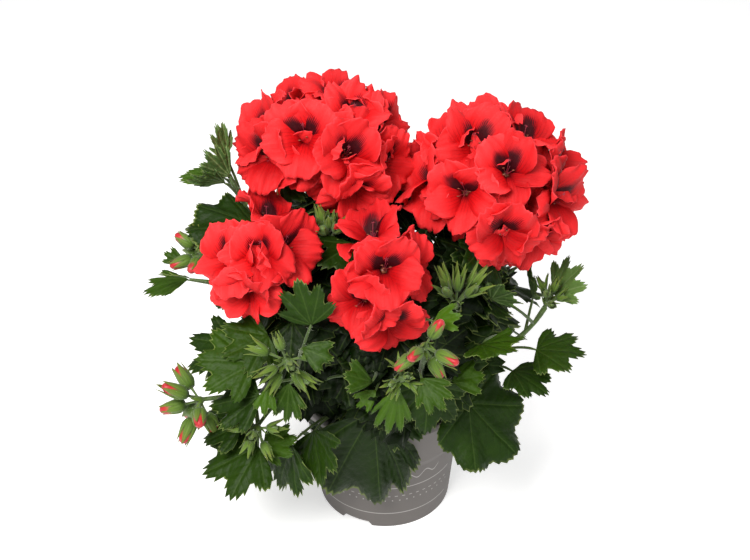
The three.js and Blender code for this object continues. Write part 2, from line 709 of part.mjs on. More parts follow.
// The leaves that fill the dome, each on the stem that passes nearest under it.
function canopyLeaves() {
  const c = CANOPY;
  return Array.from({ length: c.leaves }, (_, i) => {
    const draw = draws(c.seed + i);
    const level = (i + 0.5) / c.leaves;
    const bearing = i * c.turn + mix(-10, 10, draw());
    const z = mix(c.lowest, c.highest, level);
    const girth = level < 0.45 ? c.girth : mix(c.girth, c.crownGirth, (level - 0.45) / 0.55);
    const out = heading(bearing, 0);
    const share = out.y < -0.15 ? c.innerShare : c.outerShare;
    const length = mix(c.maxLength, c.minLength, level) * mix(0.9, 1.1, draw());
    const base = out.clone().multiplyScalar(girth * share - length * 0.35).setZ(z);
    const forward = heading(bearing + mix(-25, 25, draw()), mix(-50, 20, level));
    const tip = base.clone().addScaledVector(forward, length);
    const under = base.clone().setZ(z - c.drop);
    const spread = mix(0.7, 1, draw());
    return { stem: nearestStem(under), base: base.toArray(), tip: tip.toArray(), spread, seed: 900 + i };
  });
}

function nearestStem(point) {
  const distance = (name) => Math.min(...[0.4, 0.6, 0.8]
    .map((t) => stemCurve(name).getPoint(t).distanceTo(point)));
  return Object.keys(STEMS).reduce((best, name) => (distance(name) < distance(best) ? name : best));
}

// The leaves that show in front, the longest first.
function shownLeaves() {
  const span = ({ base, tip }) => vec(base).distanceTo(vec(tip));
  return Object.entries(LEAVES).flatMap(([name, list], s) => list.map(([base, tip, spread], i) => (
    { stem: name, base, tip, spread, seed: 100 + 20 * s + i }))).sort((a, b) => span(b) - span(a));
}

// Putting the plant together

const names = Object.keys(STEMS);
const petals = Object.fromEntries(Object.entries(HEADS).map(([name, head]) => [name, petalsOf(head)]));
const potBody = pot();
const soilBody = soil(names.map((name) => stem(name, GAP)));

// A stem without its leaves: the stalk, its flower head's umbel and its buds.
function stemParts(name) {
  const parts = [stem(name)];
  const head = HEADS[name];
  if (head) parts.push(umbel(head.centre, head.blooms.map((place, i) => flowerStalk(head, place, i))));
  CLUSTERS.filter((cluster) => cluster.stem === name).forEach((cluster) => {
    const buds = budLines(cluster).map((line) => bud(cluster, line));
    parts.push(clusterStalk(cluster), umbel(cluster.centre, buds));
  });
  return parts;
}

const cores = Object.fromEntries(names.map((name) => [name, Manifold.union(stemParts(name))]));
const leaves = Object.fromEntries(names.map((name) => [name, []]));
const blades = Object.fromEntries(names.map((name) => [name, []]));

// Whether a solid keeps its distance from every obstacle.
function clearOf(solid, obstacles) {
  return obstacles.every((other) => solid.minGap(other, CLEARANCE) >= CLEARANCE * 0.999);
}

// Puts a leaf in the first way that leaves its blade and its stalk clear; a leaf
// with no such way is left off.
function placeLeaf(wanted) {
  const others = [potBody, soilBody, ...Object.values(petals)];
  names.filter((name) => name !== wanted.stem).forEach((name) => others.push(cores[name], ...leaves[name]));
  const ways = SWINGS.length * LIFTS.length * BOWS.length * SIZES.length;
  for (let way = 0; way < ways; way += 1) {
    const leaf = leafAt(wanted, way);
    const blade = leafSolid(leaf, false);
    if (clearOf(blade, [cores[wanted.stem], ...leaves[wanted.stem]])) {
      const solid = leafSolid(leaf);
      if (clearOf(solid, [...others, ...blades[wanted.stem]])) {
        leaves[wanted.stem].push(solid);
        blades[wanted.stem].push(blade);
        return;
      }
    }
  }
}

[...shownLeaves(), ...canopyLeaves()].forEach(placeLeaf);

const plant = new THREE.Group();
plant.add(named('pot', potBody, TAUPE));
plant.add(named('soil', soilBody, PEAT));
names.forEach((name) => {
  const leafy = wholeBody(Manifold.union([cores[name], ...leaves[name]]));
  plant.add(named(`stem_${name}`, leafy, GREEN));
});
Object.entries(petals).forEach(([name, solid]) => solid.decompose().forEach((body, i) => {
  plant.add(named(`petals_${name}_${i + 1}`, body, RED));
}));

export default plant;
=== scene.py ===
"""The visual model of a potted regal pelargonium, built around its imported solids.

The plant's driving sizes are the ones that its solids were made from, in
millimetres, and every mesh is made in metres. A leaf is looked for among the
ways in which its solid may have been turned aside, so that it lies on its solid.
"""
import logging
import math
from dataclasses import dataclass, field
from enum import Enum
from typing import Callable, Iterator, Sequence

import bmesh
import bpy
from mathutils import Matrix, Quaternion, Vector, kdtree, noise


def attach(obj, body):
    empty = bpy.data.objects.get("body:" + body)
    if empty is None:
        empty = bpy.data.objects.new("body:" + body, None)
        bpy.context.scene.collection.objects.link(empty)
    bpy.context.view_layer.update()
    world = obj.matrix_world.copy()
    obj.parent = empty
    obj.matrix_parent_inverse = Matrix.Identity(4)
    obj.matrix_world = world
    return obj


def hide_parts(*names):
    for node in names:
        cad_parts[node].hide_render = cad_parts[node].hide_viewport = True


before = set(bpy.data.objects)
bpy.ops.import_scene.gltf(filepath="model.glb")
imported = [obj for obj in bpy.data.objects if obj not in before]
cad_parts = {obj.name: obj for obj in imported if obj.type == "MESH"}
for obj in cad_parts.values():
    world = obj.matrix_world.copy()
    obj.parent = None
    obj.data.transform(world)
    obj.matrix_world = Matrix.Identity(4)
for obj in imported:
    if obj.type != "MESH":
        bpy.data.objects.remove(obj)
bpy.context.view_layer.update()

LOG = logging.getLogger("pelargonium")
MM = 0.001
GOLDEN_TURN = 137.508
FULL_TURN = 6.283  # radians, as the solids were made with
MIX_FACTOR, MIX_FIRST, MIX_SECOND, MIX_COLOUR = 0, 6, 7, 2  # a Mix node's sockets for colours
Place = Callable[[float, float], Vector]
Value = Callable[[float, float], float] | float
Span = tuple[float, float]
Colour = tuple[float, float, float]
WHITE = (1, 1, 1, 1)
LIGHTWARD = Vector((0, -0.46, 0.3))  # how far a bloom's axis leans toward the light
UPWARD = Vector((0, 0.35, 1))  # where a bloom's upper petals face
BLOOM_SIZE = (0.93, 1.07)

# Driving dimensions of the plant

STEMS = {
    "top_left": [(-7, 9, 70), (-9, 11, 140), (-30, 14, 180), (-38, 15, 261)],
    "right": [(10, 7, 70), (14, 8, 140), (52, 6, 170), (66, 3, 241)],
    "mid_left": [(-15, -2, 70), (-20, -4, 130), (-62, -24, 150), (-76, -40, 217)],
    "front": [(1, -13, 70), (2, -20, 130), (0, -44, 150), (-5, -58, 212)],
    "upper_left": [(-21, 7, 70), (-26, 10, 130), (-72, 12, 170), (-97, 4, 250)],
    "low_left": [(-23, -11, 70), (-30, -16, 118), (-66, -44, 118), (-116, -61, 125)],
    "front_left": [(-10, -22, 70), (-14, -32, 120), (-42, -64, 130), (-59, -86, 174)],
    "front_right": [(13, -20, 70), (16, -32, 120), (22, -66, 140), (22, -88, 186)],
    "low_right": [(22, -6, 70), (32, -8, 110), (82, -20, 120), (104, -7, 158)],
    "back_left": [(-12, 21, 70), (-16, 30, 120), (-46, 72, 120), (-60, 90, 168)],
    "back_right": [(13, 21, 70), (18, 30, 120), (50, 70, 130), (62, 86, 176)],
    "back": [(0, 27, 70), (0, 40, 120), (4, 74, 150), (2, 80, 206)],
}


class Mood(Enum):
    """How far a bud cluster has come."""

    GREEN = "closed green buds"
    COLOURING = "long buds that show red petals"


@dataclass(frozen=True)
class Head:
    """A flower head: its middle, the reach of its throats and each bloom's bearing and height."""

    centre: tuple[float, float, float]
    reach: tuple[float, float, float]
    blooms: tuple[tuple[float, float], ...]


HEADS = {
    "top_left": Head((-38, 15, 261), (34.5, 32, 25.5), (
        (-152, 9), (-65, 25), (135, 42), (66, 52), (15, 26), (-22, -4), (178, 24), (-116, 46),
        (-58, -22), (-14, 60))),
    "right": Head((66, 3, 241), (38, 33, 32), (
        (150, 46), (172, 12), (-122, 22), (97, 52), (28, 58), (-78, 46), (4, 22), (-26, 2),
        (-84, -16), (-46, -34), (88, 6), (-155, 70))),
    "mid_left": Head((-76, -40, 217), (17, 21, 21), (
        (-140, 18), (-112, -26), (-82, 38), (-25, 30), (70, 48))),
    "front": Head((-5, -58, 212), (15, 21, 26), (
        (112, 55), (-72, 44), (-122, 0), (-68, -30), (20, 12))),
    "back_left": Head((-60, 90, 168), (26, 26, 24), ((50, 24), (135, 4))),
    "back_right": Head((62, 86, 176), (26, 26, 24), ((40, 4), (125, 26))),
}


# The length and half width of the petals of the heads that have smaller ones

SMALL_PETALS = {"mid_left": (24.4, 12.2), "front": (24.4, 12.2)}


@dataclass(frozen=True)
class Cluster:
    """A bud cluster: how far up its stem, its middle, its way, spread, count and bud size."""

    stem: str
    at: float
    centre: tuple[float, float, float]
    facing: tuple[float, float, float]
    spread: float
    buds: int
    length: float
    belly: float
    mood: Mood = Mood.GREEN


CLUSTERS = (
    Cluster("low_left", 1, (-117, -62, 125), (-0.8, -0.35, -0.25), 95, 7, 17, 3.1, Mood.COLOURING),
    Cluster("front_left", 1, (-59, -88, 176), (0, -0.9, 0.15), 105, 8, 15, 2.3),
    Cluster("low_left", 0.55, (-80, -84, 121), (0.1, -0.8, -0.4), 95, 5, 12, 2.3),
    Cluster("front_right", 1, (22, -90, 188), (0.3, -0.8, 0), 90, 5, 14, 2.6, Mood.COLOURING),
    Cluster("front_right", 0.5, (42, -52, 192), (0, -0.25, 1), 55, 6, 16, 2.4),
    Cluster("front", 0.5, (9, -94, 168), (0.1, -0.7, 0.3), 90, 5, 8, 1.6),
    Cluster("top_left", 0.55, (-35, -24, 221), (0, -0.4, 1), 32, 4, 14, 2.6),
    Cluster("mid_left", 0.6, (-114, -14, 204), (-0.7, 0, 0.3), 80, 5, 12, 2.6, Mood.COLOURING),
    Cluster("low_right", 1, (105, -6, 161), (0.3, -0.1, 1), 60, 5, 10, 1.8),
    Cluster("back", 1, (2, 80, 208), (0, 0.3, 1), 60, 5, 14, 2.5),
)

# The leaves that show in front, by stem: blade start, middle tip, spread of the lobes

LEAVES = {
    "upper_left": [
        ((-92, 22, 256), (-99, 24, 286), 0.55), ((-98, 8, 258), (-107, 4, 281), 0.45),
        ((-96, 2, 250), (-111, -5, 272), 0.4), ((-99, -2, 248), (-118, -14, 262), 0.4),
        ((-101, 12, 244), (-130, 16, 245), 0.35), ((-80, -14, 224), (-121, -14, 236), 0.7),
        ((-66, 16, 238), (-52, -2, 238), 0.7),
    ],
    "mid_left": [
        ((-124, -22, 190), (-152, -26, 190), 0.45), ((-121, -30, 196), (-137, -38, 208), 0.45),
        ((-126, -16, 197), (-140, -10, 203), 0.5),
    ],
    "low_left": [
        ((-96, -50, 162), (-124, -60, 149), 0.95), ((-80, -74, 164), (-116, -74, 168), 0.8),
        ((-72, -60, 174), (-102, -54, 178), 0.85), ((-77, -82, 145), (-110, -80, 137), 0.7),
        ((-90, -70, 114), (-124, -76, 95), 0.9), ((-80, -78, 101), (-116, -86, 86), 0.9),
        ((-78, -78, 100), (-58, -92, 106), 0.6),
    ],
    "front_left": [
        ((-58, -92, 162), (-60, -102, 140), 0.5), ((-60, -74, 100), (-71, -79, 64), 0.62),
        ((-44, -84, 199), (-46, -78, 227), 0.7), ((-49, -98, 193), (-31, -106, 190), 0.7),
        ((-46, -66, 104), (-51, -68, 68), 0.7), ((-70, -90, 160), (-74, -104, 148), 0.6),
    ],
    "front": [
        ((-8, -67, 121), (-3, -72, 44), 0.56), ((-28, -63, 90), (-32, -61, 52), 0.6),
        ((7, -94, 160), (0, -98, 128), 0.55), ((-6, -84, 151), (-15, -94, 142), 0.6),
        ((-8, -88, 160), (-24, -98, 174), 0.6), ((26, -80, 152), (24, -90, 120), 0.85),
        ((27, -80, 199), (42, -88, 209), 0.6),
    ],
    "front_right": [
        ((20, -98, 171), (43, -106, 172), 0.6), ((52, -64, 124), (83, -76, 92), 1),
        ((40, -74, 150), (62, -84, 140), 0.8),
    ],
    "low_right": [
        ((58, -60, 168), (77, -80, 178), 0.8), ((96, -34, 144), (125, -42, 152), 0.85),
        ((80, -48, 138), (102, -64, 136), 0.8), ((110, 2, 162), (127, 0, 186), 0.6),
        ((98, 10, 154), (95, 10, 182), 0.6), ((66, -30, 180), (80, -44, 198), 0.5),
    ],
}


# The leaves behind the gap between the two tall heads, painted dark as shade: blade start and middle tip

GAP_LEAVES = (
    ((18, 42, 188), (20, 34, 226)), ((32, 38, 194), (46, 32, 222)), ((6, 46, 192), (0, 40, 226)),
    ((14, 52, 206), (18, 48, 240)), ((26, 20, 182), (26, 4, 212)), ((-14, 40, 196), (-22, 28, 222)),
    ((40, 24, 184), (52, 10, 200)), ((-2, 30, 186), (-8, 12, 208)), ((-43, 30, 203), (-72, 34, 223)),
)


@dataclass(frozen=True)
class Canopy:
    """The rule for the leaves that fill the dome of the plant."""

    leaves: int = 23
    lowest: float = 98
    highest: float = 236
    min_length: float = 32
    max_length: float = 48
    girth: float = 112
    crown_girth: float = 62
    inner_share: float = 0.64
    outer_share: float = 0.88
    drop: float = 34
    seed: int = 41


@dataclass(frozen=True)
class Ways:
    """How a leaf may have been turned aside: swing, lift, bow of the stalk and size."""

    swings: tuple[float, ...] = (0, 14, -14, 28, -28, 42, -42)
    lifts: tuple[float, ...] = (0, 12, -12, 24, -24)
    bows: tuple[float, ...] = (0, 9, -9)
    sizes: tuple[float, ...] = (1, 0.8, 0.62)

    @property
    def count(self) -> int:
        """How many ways there are."""
        return len(self.swings) * len(self.lifts) * len(self.bows) * len(self.sizes)

    def pick(self, way: int) -> tuple[float, float, float, float]:
        """The swing, lift, bow and size of one way.

        Args:
            way: The way's number, with the swing changing fastest.

        Returns:
            Swing and lift in degrees, bow in mm, and the size.
        """
        rest, swing = divmod(way, len(self.swings))
        rest, lift = divmod(rest, len(self.lifts))
        size, bow = divmod(rest, len(self.bows))
        return self.swings[swing], self.lifts[lift], self.bows[bow], self.sizes[size]


# Small helpers


def mix(a: float, b: float, t: float) -> float:
    """The value a share t of the way from a to b."""
    return a + (b - a) * t


def heading(bearing: float, height: float) -> Vector:
    """A unit vector from a bearing around +Z and a height above the horizon.

    Args:
        bearing: Degrees around +Z from +X.
        height: Degrees above the horizon.

    Returns:
        The unit vector.
    """
    a, h = math.radians(bearing), math.radians(height)
    return Vector((math.cos(a) * math.cos(h), math.sin(a) * math.cos(h), math.sin(h)))


def square_to(v: Vector, n: Vector) -> Vector:
    """The part of v that is square to the unit vector n, at length 1."""
    return (v - n * v.dot(n)).normalized()


def turned(v: Vector, axis: Vector, degrees: float) -> Vector:
    """A vector turned about an axis."""
    return Quaternion(axis, math.radians(degrees)) @ v


def bezier(points: Sequence[Vector], t: float) -> Vector:
    """A point of a Bezier curve.

    Args:
        points: Three or four control points.
        t: The way along, from 0 to 1.

    Returns:
        The point.
    """
    rest = [Vector(p) for p in points]
    while len(rest) > 1:
        rest = [a.lerp(b, t) for a, b in zip(rest, rest[1:])]
    return rest[0]


def curve_points(points: Sequence[Vector], steps: int) -> list[Vector]:
    """Evenly spaced points of a Bezier curve, both ends included."""
    return [bezier(points, i / steps) for i in range(steps + 1)]


class Draws:
    """A seeded stream of numbers from 0 to 1, the same as the one the solids were made with."""

    modulus = 4294967296

    def __init__(self, seed: int) -> None:
        """Starts the stream from a whole number."""
        self.state = (seed * 2654435 + 12345) % self.modulus

    def __call__(self) -> float:
        """The next number."""
        self.state = (self.state * 1664525 + 1013904223) % self.modulus
        return self.state / self.modulus

    def between(self, low: float, high: float) -> float:
        """The next number, spread over a range."""
        return mix(low, high, self())


class Form:
    """One growing mesh, whose points may carry named values for its finish."""

    def __init__(self, *values: str) -> None:
        """Starts an empty mesh with a UV map.

        Args:
            *values: The names of the numbers that each of its points holds.
        """
        self.mesh = bmesh.new()
        self.map = self.mesh.loops.layers.uv.new("UVMap")
        self.layers = {name: self.mesh.verts.layers.float.new(name) for name in values}

    def sheet(self, across: int, along: int, place: Place, merge: bool = False,
              **values: Value) -> list[bmesh.types.BMVert]:
        """Adds a grid whose points are put in place by a formula.

        Args:
            across: Faces along the first direction.
            along: Faces along the second direction.
            place: The point in mm for each (u, v) from 0 to 1.
            merge: Whether points that meet are made one, as at a pole or a seam.
            **values: What the named values are, as numbers or as formulas of (u, v).

        Returns:
            The grid's vertices.
        """
        made = bmesh.ops.create_grid(self.mesh, x_segments=across, y_segments=along, size=0.5)
        verts = made["verts"]
        at = {vert: (vert.co.x + 0.5, vert.co.y + 0.5) for vert in verts}
        for face in {face for vert in verts for face in vert.link_faces}:
            face.smooth = True
            for loop in face.loops:
                loop[self.map].uv = at[loop.vert]
        for vert, (u, v) in at.items():
            vert.co = place(u, v) * MM
            for name, value in values.items():
                vert[self.layers[name]] = value(u, v) if callable(value) else value
        if merge:
            bmesh.ops.remove_doubles(self.mesh, verts=verts, dist=1e-6)
        return [vert for vert in verts if vert.is_valid]

    def tube(self, points: Sequence[Vector], radii: Sequence[float], sides: int,
             **values: Value) -> None:
        """Adds a closed round tube through points.

        Args:
            points: The middle line in mm.
            radii: The radius at each point in mm. An end radius of 0 makes a tip.
            sides: How many sides the tube has.
            **values: As for a sheet.
        """
        last = len(points) - 1
        ways = [(points[min(i + 1, last)] - points[max(i - 1, 0)]).normalized() for i in range(last + 1)]
        seed = Vector((1, 0.2, 0)) if abs(ways[0].x) < 0.8 else Vector((0, 1, 0.2))
        sides_at = [square_to(seed, ways[0])]
        for way in ways[1:]:
            sides_at.append(square_to(sides_at[-1], way))

        def place(u: float, v: float) -> Vector:
            """A point of the tube's skin.

            Args:
                u: The place round it, from 0 to 1.
                v: The place along it, from 0 to 1.

            Returns:
                The point in mm.
            """
            i = round(v * last)
            turn = 2 * math.pi * u
            up = ways[i].cross(sides_at[i])
            spoke = sides_at[i] * math.cos(turn) + up * math.sin(turn)
            return points[i] + spoke * radii[i]

        verts = self.sheet(sides, last, place, merge=True, **values)
        rims = {edge for vert in verts for edge in vert.link_edges if edge.is_boundary}
        if rims:
            filled = bmesh.ops.holes_fill(self.mesh, edges=list(rims), sides=0)
            for face in filled["faces"]:
                face.smooth = True

    def spike(self, root: Vector, tip: Vector, radius: float, **values: float) -> None:
        """Adds a fine three-sided hair.

        Args:
            root: Where it grows from, in mm.
            tip: Where it ends, in mm.
            radius: Its radius at the root, in mm.
            **values: As for a sheet.
        """
        made = bmesh.ops.create_cone(self.mesh, cap_ends=True, cap_tris=True, segments=3,
                                     radius1=radius * MM, radius2=0, depth=1)
        way = tip - root
        turn = Vector((0, 0, 1)).rotation_difference(way)
        for vert in made["verts"]:
            if not vert.is_valid:
                continue
            share = vert.co.z + 0.5
            flat = Vector((vert.co.x, vert.co.y, 0))
            vert.co = (root + way * share) * MM + turn @ flat
            for name, value in values.items():
                vert[self.layers[name]] = value

    def finish(self, name: str, materials: Sequence[bpy.types.Material], slot: str,
               outward: bool = False) -> bpy.types.Object:
        """Makes the mesh an object that rides on the plant.

        Args:
            name: The piece's name.
            materials: Its materials, front side first.
            slot: Not used.
            outward: Whether its faces are closed shells to be turned outward.

        Returns:
            The object.
        """
        if outward:
            bmesh.ops.recalc_face_normals(self.mesh, faces=self.mesh.faces)
        data = bpy.data.meshes.new(name)
        self.mesh.to_mesh(data)
        self.mesh.free()
        for material in materials:
            data.materials.append(material)
        piece = bpy.data.objects.new(name, data)
        bpy.context.scene.collection.objects.link(piece)
        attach(piece, "root")
        LOG.info("%s: %d faces", name, len(data.polygons))
        return piece


def thicken(piece: bpy.types.Object, thickness: float, two_sided: bool) -> None:
    """Gives an open sheet its thickness, away from its upper face.

    Args:
        piece: The sheet.
        thickness: In mm.
        two_sided: Whether its underside takes the piece's second material.
    """
    shell = piece.modifiers.new("thickness", "SOLIDIFY")
    shell.thickness = thickness * MM
    shell.offset = -1
    shell.use_even_offset = False
    if two_sided:
        shell.material_offset = 1


# Shader maths


class Shade:
    """A shader value, which takes the usual arithmetic."""

    def __init__(self, tree: "Tree", socket: bpy.types.NodeSocket) -> None:
        """Wraps an output socket of a tree's node."""
        self.tree = tree
        self.socket = socket

    def _math(self, operation: str, *inputs: "Shade | float") -> "Shade":
        """A Math node on some inputs."""
        node = self.tree.node("ShaderNodeMath", {"operation": operation}, dict(enumerate(inputs)))
        return Shade(self.tree, node.outputs[0])

    def __add__(self, other: "Shade | float") -> "Shade":
        """The sum."""
        return self._math("ADD", self, other)

    __radd__ = __add__

    def __sub__(self, other: "Shade | float") -> "Shade":
        """The difference."""
        return self._math("SUBTRACT", self, other)

    def __rsub__(self, other: "Shade | float") -> "Shade":
        """The difference from a number."""
        return self._math("SUBTRACT", other, self)

    def __mul__(self, other: "Shade | float") -> "Shade":
        """The product."""
        return self._math("MULTIPLY", self, other)

    __rmul__ = __mul__

    def __truediv__(self, other: "Shade | float") -> "Shade":
        """The quotient."""
        return self._math("DIVIDE", self, other)

    def __rtruediv__(self, other: "Shade | float") -> "Shade":
        """The quotient of a number."""
        return self._math("DIVIDE", other, self)

    def abs(self) -> "Shade":
        """The value without its sign."""
        return self._math("ABSOLUTE", self)

    def wave(self) -> "Shade":
        """The sine."""
        return self._math("SINE", self)

    def saw(self) -> "Shade":
        """How far the value is from the nearest whole number, from 0 to 0.5."""
        return self._math("PINGPONG", self, 0.5)

    def over(self, low: float, high: float) -> "Shade":
        """A soft step, which falls rather than rises if low is the larger.

        Args:
            low: Where the step is still 0.
            high: Where it has come to 1.

        Returns:
            The step, from 0 to 1.
        """
        settings = {"interpolation_type": "SMOOTHSTEP"}
        sockets = {"Value": self, "From Min": min(low, high), "From Max": max(low, high),
                   "To Min": float(low > high), "To Max": float(low <= high)}
        return Shade(self.tree, self.tree.node("ShaderNodeMapRange", settings, sockets).outputs["Result"])


class Tree:
    """A material with one Principled shader, and the one method that makes its nodes."""

    def __init__(self, name: str) -> None:
        """Starts an empty material.

        Args:
            name: Its name.
        """
        self.material = bpy.data.materials.new(name)
        self.material.use_nodes = True
        self.nodes = self.material.node_tree.nodes
        self.nodes.clear()

    def node(self, kind: str, settings: dict | None = None, sockets: dict | None = None) -> bpy.types.Node:
        """Makes a node.

        Args:
            kind: The node's type.
            settings: Its properties, which are set first.
            sockets: Values or links for its inputs, by name or number.

        Returns:
            The node.
        """
        made = self.nodes.new(kind)
        for name, value in (settings or {}).items():
            setattr(made, name, value)
        for name, value in (sockets or {}).items():
            if isinstance(value, Shade):
                self.material.node_tree.links.new(value.socket, made.inputs[name])
            else:
                made.inputs[name].default_value = value
        return made

    def value(self, name: str) -> Shade:
        """A named value of the piece's points."""
        return Shade(self, self.node("ShaderNodeAttribute", {"attribute_name": name}).outputs["Fac"])

    def uv(self) -> tuple[Shade, ...]:
        """The two coordinates of the piece's UV map."""
        return self.split(Shade(self, self.node("ShaderNodeUVMap", {"uv_map": "UVMap"}).outputs["UV"]))[:2]

    def place(self) -> Shade:
        """The place on the object, in metres."""
        return Shade(self, self.node("ShaderNodeTexCoord").outputs["Object"])

    def axes(self) -> tuple[Shade, ...]:
        """The three coordinates of the place on the object."""
        return self.split(self.place())

    def split(self, vector: Shade) -> tuple[Shade, ...]:
        """The three numbers of a vector."""
        apart = self.node("ShaderNodeSeparateXYZ", None, {0: vector})
        return tuple(Shade(self, out) for out in apart.outputs)

    def cloud(self, size: float, detail: float = 2, at: Shade | None = None) -> Shade:
        """Soft noise from 0 to 1.

        Args:
            size: The size of its patches in mm.
            detail: How many finer layers it has.
            at: The place it follows, or the object's own.

        Returns:
            The noise.
        """
        sockets = {"Vector": at or self.place(), "Scale": 1 / (size * MM), "Detail": detail}
        return Shade(self, self.node("ShaderNodeTexNoise", None, sockets).outputs["Fac"])

    def blend(self, factor: Shade | float, a: "Shade | Colour", b: "Shade | Colour") -> Shade:
        """A colour between two colours.

        Args:
            factor: The share of the second one.
            a: The first colour.
            b: The second colour.

        Returns:
            The mixed colour.
        """
        first, second = (c if isinstance(c, Shade) else (*c, 1) for c in (a, b))
        made = self.node("ShaderNodeMix", {"data_type": "RGBA", "clamp_factor": True},
                         {MIX_FACTOR: factor, MIX_FIRST: first, MIX_SECOND: second})
        return Shade(self, made.outputs[MIX_COLOUR])

    def bump(self, height: Shade, depth: float, strength: float = 1.0) -> Shade:
        """A surface relief.

        Args:
            height: Its height, from 0 to 1.
            depth: The height of 1 in mm.
            strength: How strongly it shows.

        Returns:
            The normal.
        """
        sockets = {"Height": height, "Distance": depth * MM, "Strength": strength}
        return Shade(self, self.node("ShaderNodeBump", None, sockets).outputs["Normal"])

    def shader(self, **sockets: "Shade | float | tuple") -> bpy.types.Material:
        """Ends the material in a Principled shader.

        Args:
            **sockets: The shader's inputs, with _ for a space in a name.

        Returns:
            The material.
        """
        named = {name.replace("_", " "): value for name, value in sockets.items()}
        shader = self.node("ShaderNodeBsdfPrincipled", None, named)
        self.node("ShaderNodeOutputMaterial", None, {"Surface": Shade(self, shader.outputs[0])})
        return self.material


# Finishes


@dataclass(frozen=True)
class Finish:
    """A finish, which dresses a material of its own."""

    name: str

    def dress(self, tree: Tree) -> bpy.types.Material:
        """Adds the finish's nodes to an empty material."""
        raise NotImplementedError

    def material(self) -> bpy.types.Material:
        """Builds the material."""
        return self.dress(Tree(self.name))


@dataclass(frozen=True)
class PetalFinish(Finish):
    """Matt red petals with throat veins, and a dark blotch on the two upper ones; painted light makes their
    outer part paler, a paler margin is partly painted sheen, and painted shade darkens the throat.
    """

    deep: Colour = (0.30, 0.001, 0.003)
    bright: Colour = (0.62, 0.004, 0.006)
    # painted light: a paler colour for the petal's outer part, partly its own paler margin and partly
    # painted light where it is lit, which leaves the inner part darker as painted shade
    light: Colour = (0.90, 0.038, 0.042)
    maroon: Colour = (0.220, 0.002, 0.008)
    dark: Colour = (0.026, 0.001, 0.003)
    # a paler pink at the very margin, partly the petal's own colour and partly painted sheen
    margin_and_sheen: Colour = (0.95, 0.16, 0.20)
    paleness: float = 0.0

    def dress(self, tree: Tree) -> bpy.types.Material:
        """Adds the finish's nodes to an empty material.

        Args:
            tree: The empty material.

        Returns:
            The material.
        """
        u, v = tree.uv()
        upper, tone = tree.value("upper"), tree.value("tone")
        side = (u - 0.5).abs() * 2
        ripple = tree.cloud(9, 3)
        ribs = ((u * 13 + ripple * 0.8).saw() * 2).over(0.30, 0.0)
        streaks = ((u * 31 + ripple * 3).saw() * 2).over(0.2, 0.9)
        far = v.over(0.70, 0.25)
        veins = ribs * far * side.over(1.0, 0.5)
        feathers = 0.60 - side * side * 2.1 + streaks * 0.14 + (ripple - 0.5) * 0.4 - v
        blotch = feathers.over(0.0, 0.16) * upper
        shadow = feathers.over(-0.14, 0.10) * upper
        # the throat is darkened: partly the bloom's own dark throat, partly painted shade deep in the cup
        throat = (v + streaks * 0.08).over(0.30, 0.06)
        colour = tree.blend(ripple * 0.5 + tone * 0.5, self.deep, self.bright)
        # painted light toward the outer part of the petal and painted shade toward the throat, partly the
        # petal's own paler margin
        colour = tree.blend(v.over(0.3, 1.0) * (0.4 + tone * 0.5) + self.paleness, colour, self.light)
        # the margin: partly its own paler pink, partly painted sheen
        colour = tree.blend(v.over(0.96, 1.0) * 0.12, colour, self.margin_and_sheen)
        colour = tree.blend(veins * (upper * 0.4 + 0.35), colour, self.dark)
        colour = tree.blend(shadow * 0.75, colour, self.maroon)
        # painted shade deep in the cup, over the throat's own dark colour
        colour = tree.blend(throat * (upper * 0.3 + 0.65), colour, self.dark)
        colour = tree.blend(blotch * 0.96, colour, self.dark)
        relief = ribs * 0.4 + tree.cloud(2.2, 2) + tree.cloud(6, 2) * 2
        return tree.shader(
            Base_Color=colour, Roughness=0.60, Normal=tree.bump(relief, 0.35, 0.6),
            Specular_IOR_Level=0.12, Subsurface_Weight=0.10, Subsurface_Radius=(0.9, 0.08, 0.06),
            Subsurface_Scale=0.0015)


@dataclass(frozen=True)
class LeafFinish(Finish):
    """A soft, slightly hairy green leaf with paler veins and a thin pale rim that is partly a painted
    highlight; a low tone paints it dark as shade inside the bush.
    """

    dark: Colour = (0.0025, 0.007, 0.0006)
    middle: Colour = (0.0097, 0.0270, 0.0011)
    young: Colour = (0.060, 0.135, 0.006)
    vein: Colour = (0.070, 0.120, 0.025)
    # the rim colour: partly the leaf's own pale margin, partly a painted highlight on its curled edge
    rim: Colour = (0.230, 0.290, 0.080)
    vein_strength: float = 0.25

    def dress(self, tree: Tree) -> bpy.types.Material:
        """Adds the finish's nodes to an empty material.

        Args:
            tree: The empty material.

        Returns:
            The material.
        """
        tone, edge = tree.value("tone"), tree.value("edge")
        off, reach = tree.value("off_vein"), tree.value("reach")
        patch = tree.cloud(14, 3)
        main = off.over(0.65, 0.1)
        ribs = ((reach - off * 1.1 + patch * 4) / 6.5).saw()
        fine = ribs.over(0.08, 0.02) * off.over(7.0, 2.0)
        veins = main + fine * 0.35
        # the tone: partly the leaf's age, partly painted shade from its place in the bush
        colour = tree.blend(tone.over(0.0, 0.34), self.dark, self.middle)
        colour = tree.blend(tone.over(0.40, 1.0), colour, self.young)
        colour = tree.blend((patch - 0.5) * tone, colour, self.young)
        colour = tree.blend(veins * self.vein_strength, colour, self.vein)
        # the pale rim, partly a painted highlight, is weaker on leaves painted dark as shade
        rim = edge.over(0.955, 0.995) * patch.over(0.35, 0.6) * tone.over(0.10, 0.20)
        colour = tree.blend(rim * 0.6, colour, self.rim)
        puckers = ribs.over(0.0, 0.4) * 0.25 + off.over(0.0, 2.5) * 0.7 + tree.cloud(3, 4) * 0.9
        return tree.shader(
            Base_Color=colour, Roughness=0.50 - tone * 0.04, Normal=tree.bump(puckers, 0.8, 0.8),
            Specular_IOR_Level=0.12, Subsurface_Weight=0.04,
            Subsurface_Radius=(0.3, 0.8, 0.1), Subsurface_Scale=0.0012)


